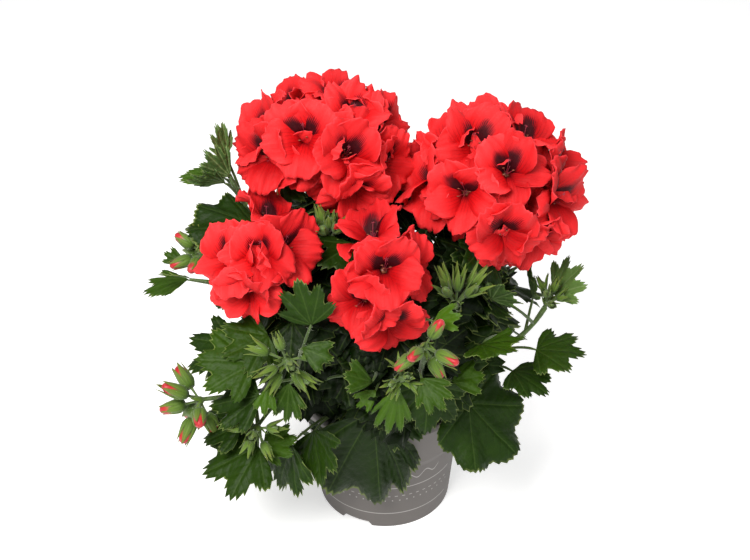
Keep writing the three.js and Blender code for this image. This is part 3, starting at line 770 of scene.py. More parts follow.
@dataclass(frozen=True)
class StalkFinish(Finish):
    """Green stalks, darker and woodier low down."""

    woody: Colour = (0.022, 0.018, 0.007)
    green: Colour = (0.022, 0.045, 0.007)
    fresh: Colour = (0.110, 0.180, 0.035)

    def dress(self, tree: Tree) -> bpy.types.Material:
        """Adds the finish's nodes to an empty material.

        Args:
            tree: The empty material.

        Returns:
            The material.
        """
        _, _, z = tree.axes()
        tone = tree.value("tone")
        streaks = tree.cloud(2.5, 3)
        colour = tree.blend(z.over(0.085, 0.125), self.woody, self.green)
        # a leaf stalk's tone carries the painted shade of its leaf
        colour = tree.blend(tone * 0.8 + (streaks - 0.5) * 0.8, colour, self.fresh)
        return tree.shader(Base_Color=colour, Roughness=0.55, Specular_IOR_Level=0.35,
                           Normal=tree.bump(streaks, 0.2, 0.6), Sheen_Weight=0.2, Sheen_Roughness=0.5)


@dataclass(frozen=True)
class BudFinish(Finish):
    """Yellow-green sepals, reddish toward their tips where the tone says so."""

    base: Colour = (0.060, 0.120, 0.012)
    tip: Colour = (0.150, 0.230, 0.030)
    flush: Colour = (0.200, 0.040, 0.022)
    stripe: Colour = (0.03, 0.06, 0.012)

    def dress(self, tree: Tree) -> bpy.types.Material:
        """Adds the finish's nodes to an empty material.

        Args:
            tree: The empty material.

        Returns:
            The material.
        """
        u, v = tree.uv()
        tone = tree.value("tone")
        stripes = (u * 3).saw().over(0.12, 0.02)
        colour = tree.blend(v, self.base, self.tip)
        colour = tree.blend(stripes * 0.35, colour, self.stripe)
        colour = tree.blend(v.over(0.45, 1.0) * tone * 0.7, colour, self.flush)
        return tree.shader(Base_Color=colour, Roughness=0.55, Specular_IOR_Level=0.2, Sheen_Weight=0.1,
                           Normal=tree.bump(stripes + tree.cloud(1.0, 1) * 0.5, 0.25, 0.7))


@dataclass(frozen=True)
class PlainFinish(Finish):
    """A fine part with a little colour variation of its own."""

    colour: Colour
    other: Colour
    roughness: float = 0.5
    patch: float = 2.0

    def dress(self, tree: Tree) -> bpy.types.Material:
        """Adds the finish's nodes to an empty material.

        Args:
            tree: The empty material.

        Returns:
            The material.
        """
        patches = tree.cloud(self.patch, 2)
        colour = tree.blend(patches.over(0.35, 0.65), self.colour, self.other)
        return tree.shader(Base_Color=colour, Roughness=self.roughness,
                           Normal=tree.bump(patches, 0.15, 0.6))


@dataclass(frozen=True)
class PotFinish(Finish):
    """Matt injection-moulded plastic with a band of plain light marks on its front."""

    body: Colour = (0.108, 0.097, 0.091)
    worn: Colour = (0.132, 0.119, 0.111)
    marks: Colour = (0.400, 0.380, 0.365)
    rules: tuple[float, float] = (13.5, 38.0)
    dots_height: float = 26.0
    dashes_height: float = 30.2
    mark_spacing: float = 6.0
    band_reach: float = 61.25
    wave_height: float = 45.5
    wave_swing: float = 2.2

    def dress(self, tree: Tree) -> bpy.types.Material:
        """Adds the finish's nodes to an empty material.

        Args:
            tree: The empty material.

        Returns:
            The material.
        """
        x, y, z = tree.axes()
        height = z * (1 / MM)
        bearing = tree.node("ShaderNodeMath", {"operation": "ARCTAN2"}, {0: x, 1: y * -1})
        turn = Shade(tree, bearing.outputs[0]) * (180 / math.pi)
        grain = tree.cloud(0.7, 3)
        sweep = tree.cloud(30, 2)
        front = turn.abs().over(self.band_reach + 0.75, self.band_reach - 0.75)
        outside = (x * x + y * y).over(0.0018, 0.0019)
        lines = sum(((height - at).abs().over(0.42, 0.28) for at in self.rules), start=turn * 0)
        marks = turn / self.mark_spacing
        dots = marks.saw().over(0.10, 0.07) * (height - self.dots_height).abs().over(0.62, 0.45)
        dashes = (marks + 0.5).saw().over(0.22, 0.20) * (height - self.dashes_height).abs().over(0.40, 0.26)
        crest = (turn * 0.42).wave() * self.wave_swing + turn * 0.06 + self.wave_height
        wavy = (height - crest).abs().over(0.5, 0.3) * turn.over(-9, -7) * turn.over(47, 45)
        printed = (lines + dots + dashes) * front * outside + wavy
        colour = tree.blend(sweep * 0.5 + grain * 0.3, self.body, self.worn)
        colour = tree.blend(printed * 0.8, colour, self.marks)
        return tree.shader(Base_Color=colour, Roughness=0.55 + grain * 0.12, Specular_IOR_Level=0.4,
                           Normal=tree.bump(grain, 0.05, 0.5))


@dataclass(frozen=True)
class PeatFinish(Finish):
    """Dark damp peat."""

    dark: Colour = (0.012, 0.008, 0.005)
    brown: Colour = (0.060, 0.034, 0.018)

    def dress(self, tree: Tree) -> bpy.types.Material:
        """Adds the finish's nodes to an empty material.

        Args:
            tree: The empty material.

        Returns:
            The material.
        """
        lumps, crumbs = tree.cloud(5, 4), tree.cloud(0.9, 3)
        colour = tree.blend((lumps * 0.6 + crumbs * 0.6).over(0.45, 0.85), self.dark, self.brown)
        return tree.shader(Base_Color=colour, Roughness=0.95, Specular_IOR_Level=0.2,
                           Normal=tree.bump(lumps + crumbs * 0.6, 1.2, 1.0))


@dataclass(frozen=True)
class FurledFinish(Finish):
    """Furled petals, green in a young bud and red in a long one, with painted shade along the spiral seams
    between them.
    """

    green: Colour = (0.10, 0.17, 0.035)
    red: Colour = (0.46, 0.007, 0.012)
    # painted shade for the seams between the furled petals
    crease: Colour = (0.10, 0.02, 0.012)

    def dress(self, tree: Tree) -> bpy.types.Material:
        """Adds the finish's nodes to an empty material.

        Args:
            tree: The empty material.

        Returns:
            The material.
        """
        u, v = tree.uv()
        ripe, twist = tree.value("upper"), (u * 4 + v * 1.5).saw()
        colour = tree.blend(ripe * v.over(0.35, 0.65), self.green, self.red)
        # painted shade along the spiral seams
        colour = tree.blend(twist.over(0.12, 0.0) * 0.5, colour, self.crease)
        return tree.shader(Base_Color=colour, Roughness=0.5, Normal=tree.bump(twist, 0.4, 0.8),
                           Sheen_Weight=0.2)


@dataclass(frozen=True)
class StamenFinish(Finish):
    """Pink filaments with brown-red anthers."""

    pink: Colour = (0.36, 0.035, 0.06)
    deep: Colour = (0.22, 0.012, 0.03)
    anther: Colour = (0.20, 0.05, 0.02)

    def dress(self, tree: Tree) -> bpy.types.Material:
        """Adds the finish's nodes to an empty material.

        Args:
            tree: The empty material.

        Returns:
            The material.
        """
        filament = tree.blend(tree.cloud(1.5, 1), self.pink, self.deep)
        colour = tree.blend(tree.value("tone").over(0.6, 0.9), filament, self.anther)
        return tree.shader(Base_Color=colour, Roughness=0.45)


@dataclass(frozen=True)
class PaperFinish(Finish):
    """Plain white paper, lit through a little from below."""

    white: float = 0.85
    glow: float = 0.52

    def dress(self, tree: Tree) -> bpy.types.Material:
        """Adds the finish's nodes to an empty material."""
        return tree.shader(Base_Color=(self.white, self.white, self.white, 1), Roughness=0.8,
                           Emission_Color=WHITE, Emission_Strength=self.glow)


# Flowers


@dataclass
class Bloom:
    """One flower: its throat, its axis, the side its upper petals face, size and phase."""

    axis: Vector
    throat: Vector
    upright: Vector
    leftward: Vector
    size: float
    phase: float
    number: int


def bloom_of(head: Head, index: int) -> Bloom:
    """The frame of one bloom of a head, whose axis leans toward the light.

    Args:
        head: The flower head.
        index: Which bloom.

    Returns:
        The bloom.
    """
    outward = heading(*head.blooms[index])
    throat = Vector(head.centre) + Vector(o * r for o, r in zip(outward, head.reach))
    axis = (outward + LIGHTWARD).normalized()
    upright = square_to(UPWARD, axis)
    draw = Draws(index + round(head.centre[0]) + 500)
    number = index + 40 * abs(round(head.centre[0]))
    return Bloom(axis, throat, upright, axis.cross(upright), draw.between(*BLOOM_SIZE),
                 draw() * FULL_TURN, number)


@dataclass
class Flowers:
    """The petals and stamens of one flower head."""

    name: str
    head: Head
    petal_length: float = 26
    half_width: float = 13
    throat_angle: float = 30
    flare_angle: float = 100
    wave: float = 1.6
    tilt: float = 1.3
    hub: float = 2.3
    petals: int = 5
    first: float = 90
    thickness: float = 0.35
    across: int = 28
    along: int = 14
    crumple: float = 2.6
    cup: float = 1.2
    corner: float = 0.45
    scallops: Span = (0.020, 0.013)
    upper_breadth: float = 1.10
    upper_stretch: float = 1.04
    upper_petals: tuple[int, int] = (0, 4)
    # What each petal draws between, or up to on both sides
    waves: Span = (0.8, 1.9)
    swell: Span = (1.2, 3.1)
    frill: Span = (0.7, 1.6)
    frills: Span = (6, 9)
    notch: Span = (0.0, 0.07)
    breadth: Span = (1.02, 1.16)
    stretch: Span = (0.97, 1.06)
    crease: Span = (-1.0, 2.2)
    roll: Span = (-0.5, 3.2)
    upper_pitch: Span = (-20, 4)
    lower_pitch: Span = (-13, 17)
    twist: float = 24
    spin: float = 7
    # The half hidden blooms inside the head
    inner_share: float = 0.62
    inner_size: Span = (0.80, 0.92)
    inner_heights: Span = (72, -34)
    large_head: int = 6
    fewer_inside: int = 3
    # The heart of a bloom, its floor as depths and radii
    throat_floor: tuple[Span, ...] = ((1.9, 2.6), (1.1, 2.5), (0.8, 0))
    filaments: int = 6
    anthers: int = 3
    style_tips: int = 5
    style_length: float = 12
    filament_length: Span = (6, 9)
    filament_rise: Span = (58, 74)
    filament_radii: tuple[float, ...] = (0.26, 0.24, 0.22, 0.2, 0.18, 0.15)
    tip_radii: tuple[float, ...] = (0.16, 0.15, 0.12, 0.05)
    anther_radii: tuple[float, ...] = (0.15, 0.42, 0.15)
    anther_half: float = 0.9
    # Further blooms by head, as bearing, height and share of the reach
    edge_blooms: dict[str, tuple[tuple[float, float, float], ...]] = field(default_factory=lambda: {
        "right": ((-168, 2, 0.86), (-62, -52, 0.9), (-8, -20, 0.8))})

    def frame_of(self, bloom: Bloom, petal: int) -> tuple[Vector, Vector]:
        """The frame of a petal.

        Args:
            bloom: The flower.
            petal: Which petal.

        Returns:
            The way out along it from the bloom's axis, and the way across it.
        """
        spin = math.radians(self.first - 54 + petal * 360 / self.petals)
        outward = bloom.upright * math.cos(spin) + bloom.leftward * math.sin(spin)
        return outward, bloom.axis.cross(outward)

    def petal_point(self, bloom: Bloom, petal: int, u: float, v: float, lift: float,
                    width: float) -> Vector:
        """A point of a petal's upper face, before the petal is turned.

        Args:
            bloom: The flower.
            petal: Which petal.
            u: The place across it, from -1 to 1.
            v: The place along it, from 0 to 1.
            lift: How far the point is raised from the plain petal, in mm.
            width: How much wider than usual the petal is.

        Returns:
            The point in mm, from the throat.
        """
        outward, sideways = self.frame_of(bloom, petal)
        throat = math.radians(self.throat_angle)
        bend = math.radians(self.flare_angle) - throat
        a = throat + bend * v
        length = self.petal_length * bloom.size
        out = self.hub * math.cos(math.pi / self.petals) + length * (math.cos(throat) - math.cos(a)) / bend
        rise = length * (math.sin(a) - math.sin(throat)) / bend
        fullness = 0.15 + 0.85 * math.sqrt(max(0.0, 1 - ((v - 0.65) / 0.65) ** 2))
        across = u * self.half_width * bloom.size * fullness * width
        raised = lift + self.tilt * u * v + self.wave * v * v * math.cos(4.7 * u + bloom.phase + 2 * petal)
        out, rise = out - math.cos(a) * raised, rise + math.sin(a) * raised
        return outward * out + sideways * across + bloom.axis * rise

    def petal(self, form: Form, bloom: Bloom, petal: int, across: int, along: int) -> None:
        """Adds one ruffled petal with an uneven rim, tipped and twisted by its own draw.

        Args:
            form: The mesh it joins.
            bloom: The flower.
            petal: Which petal.
            across: Faces across it.
            along: Faces along it.
        """
        draw = Draws(bloom.number * 7 + petal * 3 + 31)
        upper = petal in self.upper_petals
        phase, waves = draw() * FULL_TURN, draw.between(*self.waves)
        swell, frill = draw.between(*self.swell), draw.between(*self.frill)
        frills, notch = draw.between(*self.frills), draw.between(*self.notch)
        width = draw.between(*self.breadth) * (self.upper_breadth if upper else 1)
        reach = draw.between(*self.stretch) * (self.upper_stretch if upper else 1)
        crease, roll = draw.between(*self.crease), draw.between(*self.roll)
        curl = -roll * 0.5 if upper else roll
        outward, sideways = self.frame_of(bloom, petal)
        pitch = draw.between(*(self.upper_pitch if upper else self.lower_pitch))
        twist = draw.between(-self.twist, self.twist)
        spin = draw.between(-self.spin, self.spin)
        turn = (Quaternion(sideways, math.radians(pitch)) @ Quaternion(outward, math.radians(twist))
                @ Quaternion(bloom.axis, math.radians(spin)))

        def rim(x: float) -> float:
            """How far the petal reaches at a place across it.

            Args:
                x: The place, from -1 to 1.

            Returns:
                The reach as a share of the plain petal's length.
            """
            broad, fine = self.scallops
            scallop = broad * math.sin(frills * 1.9 * x + phase)
            scallop += fine * math.sin(frills * 4.3 * x + 2 * phase)
            heart = notch * math.exp(-((x / 0.18) ** 2))
            return reach * (1 - self.corner * abs(x) ** 3.0) + scallop - heart

        def place(u: float, v: float) -> Vector:
            """A point of the ruffled petal.

            Args:
                u: The place across it, from 0 to 1.
                v: The place along it, from 0 to 1.

            Returns:
                The point in mm.
            """
            x = 1 - 2 * u
            lift = swell * v * v * math.sin(waves * math.pi * x + phase)
            lift += frill * v ** 5 * math.sin(frills * x * 2.3 + 2 * phase) * (0.6 + 0.4 * abs(x))
            lift += crease * (1 - abs(x)) ** 2 * v * (1 - v) * 2
            lift -= curl * v ** 4 * (0.6 + 0.4 * x * x)
            lift += self.cup * abs(x) ** 3 * v * v
            lift += self.crumple * v * noise.noise(Vector((x * 2.6, v * 2.2, phase * 9)))
            plain = self.petal_point(bloom, petal, x, v * rim(x), lift, width)
            return bloom.throat + turn @ plain

        form.sheet(across, along, place, upper=float(upper), tone=draw())

    def heart(self, form: Form, bloom: Bloom) -> None:
        """Adds the filaments, the style and its curled tips in a bloom's throat.

        Args:
            form: The mesh they join.
            bloom: The flower.
        """
        draw = Draws(bloom.number + 77)
        floor = [bloom.throat - bloom.axis * depth for depth, _ in self.throat_floor]
        form.tube(floor, [radius for _, radius in self.throat_floor], 10, tone=1.0)
        for i in range(self.filaments):
            style = i == 0
            lean = heading(i * GOLDEN_TURN, draw.between(*self.filament_rise))
            way = bloom.upright * lean.x + bloom.leftward * lean.y + bloom.axis * lean.z
            droop = bloom.upright * -draw.between(0.5, 2.5)
            length = self.style_length if style else draw.between(*self.filament_length)
            start = bloom.throat - bloom.axis * 0.8
            middle = start + way * length * 0.6
            tip = start + way * length + bloom.upright * draw.between(0.6, 2.2) + droop * 0.4
            points = curve_points((start, middle, tip), len(self.filament_radii) - 1)
            form.tube(points, self.filament_radii, 5, tone=0.0)
            if style:
                for k in range(self.style_tips):
                    curl = heading(k * 360 / self.style_tips, 20)
                    out = bloom.upright * curl.x + bloom.leftward * curl.y + bloom.axis * curl.z
                    curled = (tip, tip + out * 1.1, tip + out * 1.6 - bloom.axis * 0.5)
                    form.tube(curve_points(curled, 3), self.tip_radii, 4, tone=0.3)
            elif i <= self.anthers:
                half = bloom.leftward * self.anther_half
                form.tube([tip - half, tip, tip + half], self.anther_radii, 5, tone=1.0)

    def inner_blooms(self) -> Iterator[Bloom]:
        """The half hidden blooms inside the head, which show between the outer ones.

        Yields:
            Each bloom.
        """
        blooms = len(self.head.blooms)
        count = blooms if blooms > self.large_head else blooms - self.fewer_inside
        for i in range(count):
            draw = Draws(i + 60 * count + abs(round(self.head.centre[1])))
            place = heading(i * GOLDEN_TURN - 90, mix(*self.inner_heights, (i + 0.5) / count))
            reach = tuple(r * self.inner_share for r in self.head.reach)
            bearing, height = math.degrees(math.atan2(place.y, place.x)), math.degrees(math.asin(place.z))
            bloom = bloom_of(Head(self.head.centre, reach, ((bearing, height),)), 0)
            bloom.size, bloom.phase = draw.between(*self.inner_size), draw() * FULL_TURN
            bloom.number = i + 900 + 30 * abs(round(self.head.centre[0]))
            yield bloom
        for bearing, height, share in self.edge_blooms.get(self.name, ()):
            reach = tuple(r * share for r in self.head.reach)
            yield bloom_of(Head(self.head.centre, reach, ((bearing, height),)), 0)

    def build(self, dress: "Wardrobe") -> None:
        """Builds the head's petals and hearts.

        Args:
            dress: The materials.
        """
        petals, hearts = Form("upper", "tone"), Form("tone")
        for index in range(len(self.head.blooms)):
            bloom = bloom_of(self.head, index)
            for petal in range(self.petals):
                self.petal(petals, bloom, petal, self.across, self.along)
            self.heart(hearts, bloom)
        for bloom in self.inner_blooms():
            for petal in range(self.petals):
                self.petal(petals, bloom, petal, self.across // 2, self.along // 2)
        piece = petals.finish(f"petals_of_{self.name}", (dress.petal, dress.petal_back), "petals")
        thicken(piece, self.thickness, two_sided=True)
        nodes = [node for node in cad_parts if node.rsplit("_", 1)[0] == f"petals_{self.name}"]
        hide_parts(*nodes)
        hearts.finish(f"stamens_of_{self.name}", (dress.stamen,), "petals", outward=True)


# Leaves


@dataclass
class Leaf:
    """A leaf on its stalk, with its blade's frame and shape.

    The fold, in degrees, turns down the half that lies against the rightward
    way, and the lean draws that half's lobes in and lets the other half out.
    """

    root: Vector
    base: Vector
    right: Vector
    forward: Vector
    normal: Vector
    length: float
    spread: float
    bow: float
    droop: float
    cup: float
    pleat: float
    cut: float
    tone: float = 0.4
    number: int = 0
    fold: float = 0
    lean: float = 0
    lean_back: float = 0.33
    lobe_step: float = 44
    lobe_reach: tuple[float, float, float] = (1, 0.94, 0.76)
    corner_reach: float = 0.34
    small: float = 24
    large: float = 40
    stalk_arch: float = 0.16

    @property
    def outer(self) -> int:
        """How many lobes the blade has on each side of the middle one."""
        return 1 if self.length < self.small else 2

    @property
    def step(self) -> float:
        """The angle from one lobe to the next."""
        return math.radians(self.lobe_step * self.spread)

    def point(self, angle: float, reach: float, lift: float = 0.0) -> Vector:
        """A point of the blade.

        Args:
            angle: From the middle vein.
            reach: From the stalk, as a share of the length.
            lift: How far it is raised, in mm.

        Returns:
            The point in mm.
        """
        folds = math.cos(angle * 2 * math.pi / self.step)
        angle *= 1 + self.lean * (self.lean_back if angle > 0 else -1)
        x, y = reach * math.sin(angle), reach * math.cos(angle)
        height = self.cup * x * x - self.droop * y * abs(y) + self.pleat * reach * reach * folds
        height -= math.tan(math.radians(self.fold)) * max(0.0, -x)
        return (self.base + self.right * (x * self.length) + self.forward * (y * self.length)
                + self.normal * (height * self.length + lift))

    def edge(self, lobes: float) -> float:
        """How far the blade reaches at a place counted in lobes from the middle one.

        Args:
            lobes: The place.

        Returns:
            The reach as a share of the length. A large blade has the shallower notches.
        """
        place = min(abs(lobes), self.outer + 0.5)
        lobe = min(int(place + 0.5), self.outer)
        tip = self.lobe_reach[lobe]
        side = place - lobe
        if side > 0 and lobe == self.outer:
            return mix(tip, self.corner_reach, (2 * side) ** 1.9)
        neighbour = lobe + 1 if side > 0 else max(lobe, 1)
        share, roundness = (0.38, 2.6) if self.length > self.large else (0.9, 2)
        notch = self.lobe_reach[min(neighbour, 2)] * (1 - self.cut * share)
        return mix(tip, notch, (2 * abs(side)) ** roundness)

    @property
    def stalk(self) -> list[Vector]:
        """The stalk's curve.

        Returns:
            Its control points in mm.
        """
        middle = self.root.lerp(self.base, 0.5) + self.right * self.bow
        middle.z += self.stalk_arch * (self.base - self.root).length
        return [self.root, middle, self.base]


# The values that a blade's points hold for its finish

BLADE_VALUES = ("tone", "off_vein", "edge", "reach")


class Toothing(Enum):
    """How finely a blade is cut: the teeth of half a lobe, the faces along it and the teeth's depth."""

    INNER = (3, 4, 0.070)
    LITTLE = (4, 5, 0.085)
    MIDDLING = (6, 7, 0.070)
    LARGE = (8, 8, 0.030)


@dataclass
class Foliage:
    """The leafy stems: where each leaf is, and the meshes of stalks, blades and buds.

    A leaf that is folded and leans, is narrow or is young is named by its seed.
    """

    canopy: Canopy = field(default_factory=Canopy)
    ways: Ways = field(default_factory=Ways)
    foot_radius: float = 3.4
    top_radius: float = 1.5
    stem_steps: int = 22
    stalk_radii: tuple[float, ...] = (1.25, 1.1, 1.0, 0.95, 0.92, 0.9, 0.9, 0.55)
    stem_hairs: int = 70
    stalk_hairs: int = 12
    facing_out: float = 0.75
    facing_up: float = 0.8
    large: float = 40
    levelling: float = 0.8
    climb: float = 0.6
    span: Span = (0.24, 0.9)
    samples: int = 22
    blade_thickness: float = 0.4
    groove: float = 0.55
    # What each blade draws between
    droop: Span = (0.06, 0.3)
    cup: Span = (-0.16, 0.2)
    pleat: Span = (0.03, 0.07)
    cut: Span = (0.14, 0.24)
    deeper_cut: float = 0.1
    wave: Span = (0.02, 0.05)
    crinkle: Span = (0.035, 0.06)
    # The inner leaves, where they may be, and their dark tone, which is painted shade
    fill_tries: int = 2400
    fill_middle: tuple[float, float, float] = (-4, 4, 156)
    fill_radii: tuple[float, float, float] = (94, 84, 88)
    fill_stem: tuple[Span, Span] = ((0.6, 0.96), (0.3, 0.9))
    fill_swing: float = 85
    fill_rise: Span = (0, 60)
    fill_stalk: Span = (10, 32)
    fill_turn: float = 40
    fill_slope: Span = (-45, 35)
    fill_spread: Span = (0.75, 1.0)
    fill_length: Span = (24, 42)
    fill_shade_tone: Span = (0.0, 0.16)
    over_rim: float = 97
    beside_rim: Span = (64, 88)
    clearance: float = 8
    gap_spread: float = 0.9
    gap_shade_tone: float = 0.08
    # The tones, which are lower as painted shade inside the bush and brighter toward the sides
    side: float = 60
    side_less_shade: float = 0.16
    least_tone: float = 0.18
    least_inside_shaded: float = 0.05
    # The seeds, and the leaves that go by theirs
    first_seed: int = 100
    seeds_per_stem: int = 20
    canopy_seed: int = 900
    gap_seed: int = 2900
    fill_seed: int = 3000
    turned_aside: dict[int, Span] = field(default_factory=lambda: {180: (22, 0.45)})
    narrow: dict[int, float] = field(default_factory=lambda: {182: 0.62, 200: 0.8})
    young: dict[int, float] = field(default_factory=lambda: {
        182: 0.72, 200: 0.62, 223: 0.85, 160: 0.55, 166: 0.6})

    def stem_point(self, name: str, t: float) -> Vector:
        """A point of a stem's middle line, in mm."""
        return bezier(STEMS[name], t)

    def stalk_root(self, name: str, base: Vector) -> Vector:
        """The point of a stem that a leaf stalk climbs from.

        Args:
            name: The stem.
            base: Where the blade starts.

        Returns:
            The point in mm.
        """
        def miss(point: Vector) -> float:
            """How far a straight climb from the point would miss the blade."""
            run = math.hypot(base.x - point.x, base.y - point.y)
            return abs(base.z - point.z - self.climb * run)

        share = [i / (self.samples - 1) for i in range(self.samples)]
        return min((self.stem_point(name, mix(*self.span, s)) for s in share), key=miss)

    def leaf_at(self, name: str, base: Sequence[float], tip: Sequence[float], spread: float, seed: int,
                way: int = 0) -> Leaf:
        """A leaf turned aside by one of the ways.

        Args:
            name: Its stem.
            base: Where its blade starts, in mm.
            tip: Where its middle lobe would end, in mm.
            spread: How widely its lobes fan out.
            seed: The seed of its shape.
            way: The way's number.

        Returns:
            The leaf.
        """
        start = Vector(base)
        reach = Vector(tip) - start
        facing = Vector((base[0], base[1], 0)).normalized() * self.facing_out
        facing.z = self.facing_up
        right = reach.cross(facing).normalized()
        normal = right.cross(reach).normalized()
        swing, lift, bow, size = self.ways.pick(way)
        reach, right = turned(reach, normal, swing), turned(right, normal, swing)
        reach, normal = turned(reach, right, lift), turned(normal, right, lift)
        length = reach.length * size
        forward = reach.normalized()
        draw = Draws(seed)
        droop = draw.between(*self.droop) * (1 - self.levelling * abs(forward.z))
        cup, pleat = draw.between(*self.cup), draw.between(*self.pleat)
        cut = draw.between(*self.cut) + (self.deeper_cut if length < self.large else 0)
        return Leaf(self.stalk_root(name, start), start, right, forward, normal, length, spread, bow,
                    droop, cup, pleat, cut, number=seed)

    def wanted(self) -> Iterator[tuple[str, Sequence[float], Sequence[float], float, int]]:
        """Every leaf that the solids were made from.

        Yields:
            Its stem, blade start, tip, spread and seed.
        """
        for s, (name, rows) in enumerate(LEAVES.items()):
            for i, (base, tip, spread) in enumerate(rows):
                yield name, base, tip, spread, self.first_seed + self.seeds_per_stem * s + i
        c = self.canopy
        for i in range(c.leaves):
            draw = Draws(c.seed + i)
            level = (i + 0.5) / c.leaves
            bearing = i * GOLDEN_TURN + draw.between(-10, 10)
            z = mix(c.lowest, c.highest, level)
            girth = c.girth if level < 0.45 else mix(c.girth, c.crown_girth, (level - 0.45) / 0.55)
            out = heading(bearing, 0)
            share = c.inner_share if out.y < -0.15 else c.outer_share
            length = mix(c.max_length, c.min_length, level) * draw.between(0.9, 1.1)
            base = out * (girth * share - length * 0.35)
            base.z = z
            forward = heading(bearing + draw.between(-25, 25), mix(-50, 20, level))
            stem = self.nearest_stem(Vector((base.x, base.y, z - c.drop)))
            yield stem, base, base + forward * length, draw.between(0.7, 1), self.canopy_seed + i

    def nearest_stem(self, point: Vector) -> str:
        """The stem that passes nearest to a point."""
        return min(STEMS, key=lambda name: min(
            (self.stem_point(name, t) - point).length for t in (0.4, 0.6, 0.8)))

    def placed(self) -> dict[str, list[Leaf]]:
        """The leaves of the solids by stem, each in the way that its solid has.

        Returns:
            The leaves, with their tones.
        """
        trees = {}
        for name in STEMS:
            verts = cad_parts[f"stem_{name}"].data.vertices
            trees[name] = kdtree.KDTree(len(verts))
            for vert in verts:
                trees[name].insert(vert.co, vert.index)
            trees[name].balance()
        found = {name: [] for name in STEMS}
        missing = 0
        for name, base, tip, spread, seed in self.wanted():
            leaf = next((leaf for leaf in (self.leaf_at(name, base, tip, spread, seed, way)
                                           for way in range(self.ways.count))
                         if self.on_solid(leaf, trees[name])), None)
            if leaf:
                leaf.tone = self.young.get(seed) or self.tone_of(leaf)
                leaf.pleat *= min(1.0, 1.6 * spread ** 2)
                leaf.fold, leaf.lean = self.turned_aside.get(seed, (0, 0))
                leaf.spread *= self.narrow.get(seed, 1)
                found[name].append(leaf)
            else:
                missing += 1
        LOG.info("leaves on the solids: %d, without a solid: %d", sum(map(len, found.values())), missing)
        return found

    @staticmethod
    def on_solid(leaf: Leaf, tree: kdtree.KDTree, near: float = 0.02) -> bool:
        """Whether the middle of a blade and its tip are corners of the solid."""
        return all(tree.find(leaf.point(0, reach) * MM)[2] < near * MM for reach in (0.45, 1.0))

    def tone_of(self, leaf: Leaf) -> float:
        """How young and bright a leaf is, from its length, with painted shade from its place: darker
        further in and brighter further out.

        Args:
            leaf: The leaf.

        Returns:
            Its tone, from 0 for the darkest to 1 for the brightest.
        """
        draw = Draws(leaf.number + 5)
        # painted shade: leaves further in are darker, and the canopy leaves inside the bush darkest
        outer = (Vector((leaf.base.x, leaf.base.y)).length - 40) / 90
        young = (self.large - leaf.length) / self.large
        inside = leaf.number >= self.canopy_seed and abs(leaf.base.x) < self.side - 10
        least = self.least_inside_shaded if inside else self.least_tone
        return min(1.0, max(least, least + 0.07 + 0.14 * outer + 0.60 * young + draw.between(-0.16, 0.18)))

    def toothing(self, leaf: Leaf, coarse: bool) -> Toothing:
        """How finely a leaf is cut.

        Args:
            leaf: The leaf.
            coarse: Whether it is an inner leaf.

        Returns:
            The toothing.
        """
        if coarse:
            return Toothing.INNER
        if leaf.length <= leaf.small:
            return Toothing.LITTLE
        return Toothing.LARGE if leaf.length > self.large else Toothing.MIDDLING

    def blade(self, form: Form, leaf: Leaf, coarse: bool = False) -> None:
        """Adds a sharply toothed, crinkled blade with sunken veins.

        Args:
            form: The mesh it joins.
            leaf: The leaf.
            coarse: Whether it is an inner leaf, which is seen little and gets fewer faces.
        """
        draw = Draws(leaf.number + 9)
        lobes = 2 * leaf.outer + 1
        teeth, along, depth = self.toothing(leaf, coarse).value
        across = lobes * teeth * 2
        jags = [draw() for _ in range(across + 1)]
        phase, waves = draw() * FULL_TURN, draw.between(0.7, 1.3)
        groove = self.groove * min(1, (leaf.length * leaf.spread / 28) ** 2)
        wave, crinkle = draw.between(*self.wave) * leaf.length, draw.between(*self.crinkle) * leaf.length

        def polar(u: float, v: float) -> tuple[float, float, float]:
            """Where a point of the blade is.

            Args:
                u: The place round it, from 0 to 1.
                v: The place from the stalk to the edge, from 0 to 1.

            Returns:
                The place in lobes, the angle and the reach.
            """
            place = (u - 0.5) * lobes
            i = round(u * across)
            jag = 1 - depth * (0.5 + jags[i]) if i % 2 else 1 + depth * 0.5 * jags[i]
            tooth = mix(1, jag, v ** 4)
            local = place - round(place)
            if abs(local) > 0.05 and i % 2 == 0:
                place -= math.copysign(0.14 / teeth, local) * v ** 3
            return place, place * leaf.step, leaf.edge(place) * v * tooth

        def off(place: float, reach: float) -> float:
            """The distance in mm from the nearest lobe's vein."""
            nearest = max(-leaf.outer, min(leaf.outer, round(place)))
            return abs(place - nearest) * leaf.step * reach * leaf.length

        def put(u: float, v: float) -> Vector:
            """A point of the blade.

            Args:
                u: The place round it, from 0 to 1.
                v: The place from the stalk to the edge, from 0 to 1.

            Returns:
                The point in mm.
            """
            place, angle, reach = polar(u, v)
            lift = wave * v ** 3 * math.sin(2 * math.pi * waves * place + phase)
            spot = Vector((reach * math.sin(angle), reach * math.cos(angle), 0)) * 4.5
            lift += crinkle * v * noise.noise(spot + Vector((0, 0, leaf.number * 1.7)))
            lift += crinkle * 0.5 * v * v * noise.noise(spot * 2.3 + Vector((0, 0, leaf.number * 2.9)))
            lift -= min(1, v * 2) * groove * math.exp(-((off(place, reach) / 1.8) ** 2))
            return leaf.point(angle, reach, lift)

        form.sheet(across, along, put, merge=True, tone=leaf.tone, edge=lambda u, v: v,
                   off_vein=lambda u, v: off(*polar(u, v)[::2]),
                   reach=lambda u, v: polar(u, v)[2] * leaf.length)

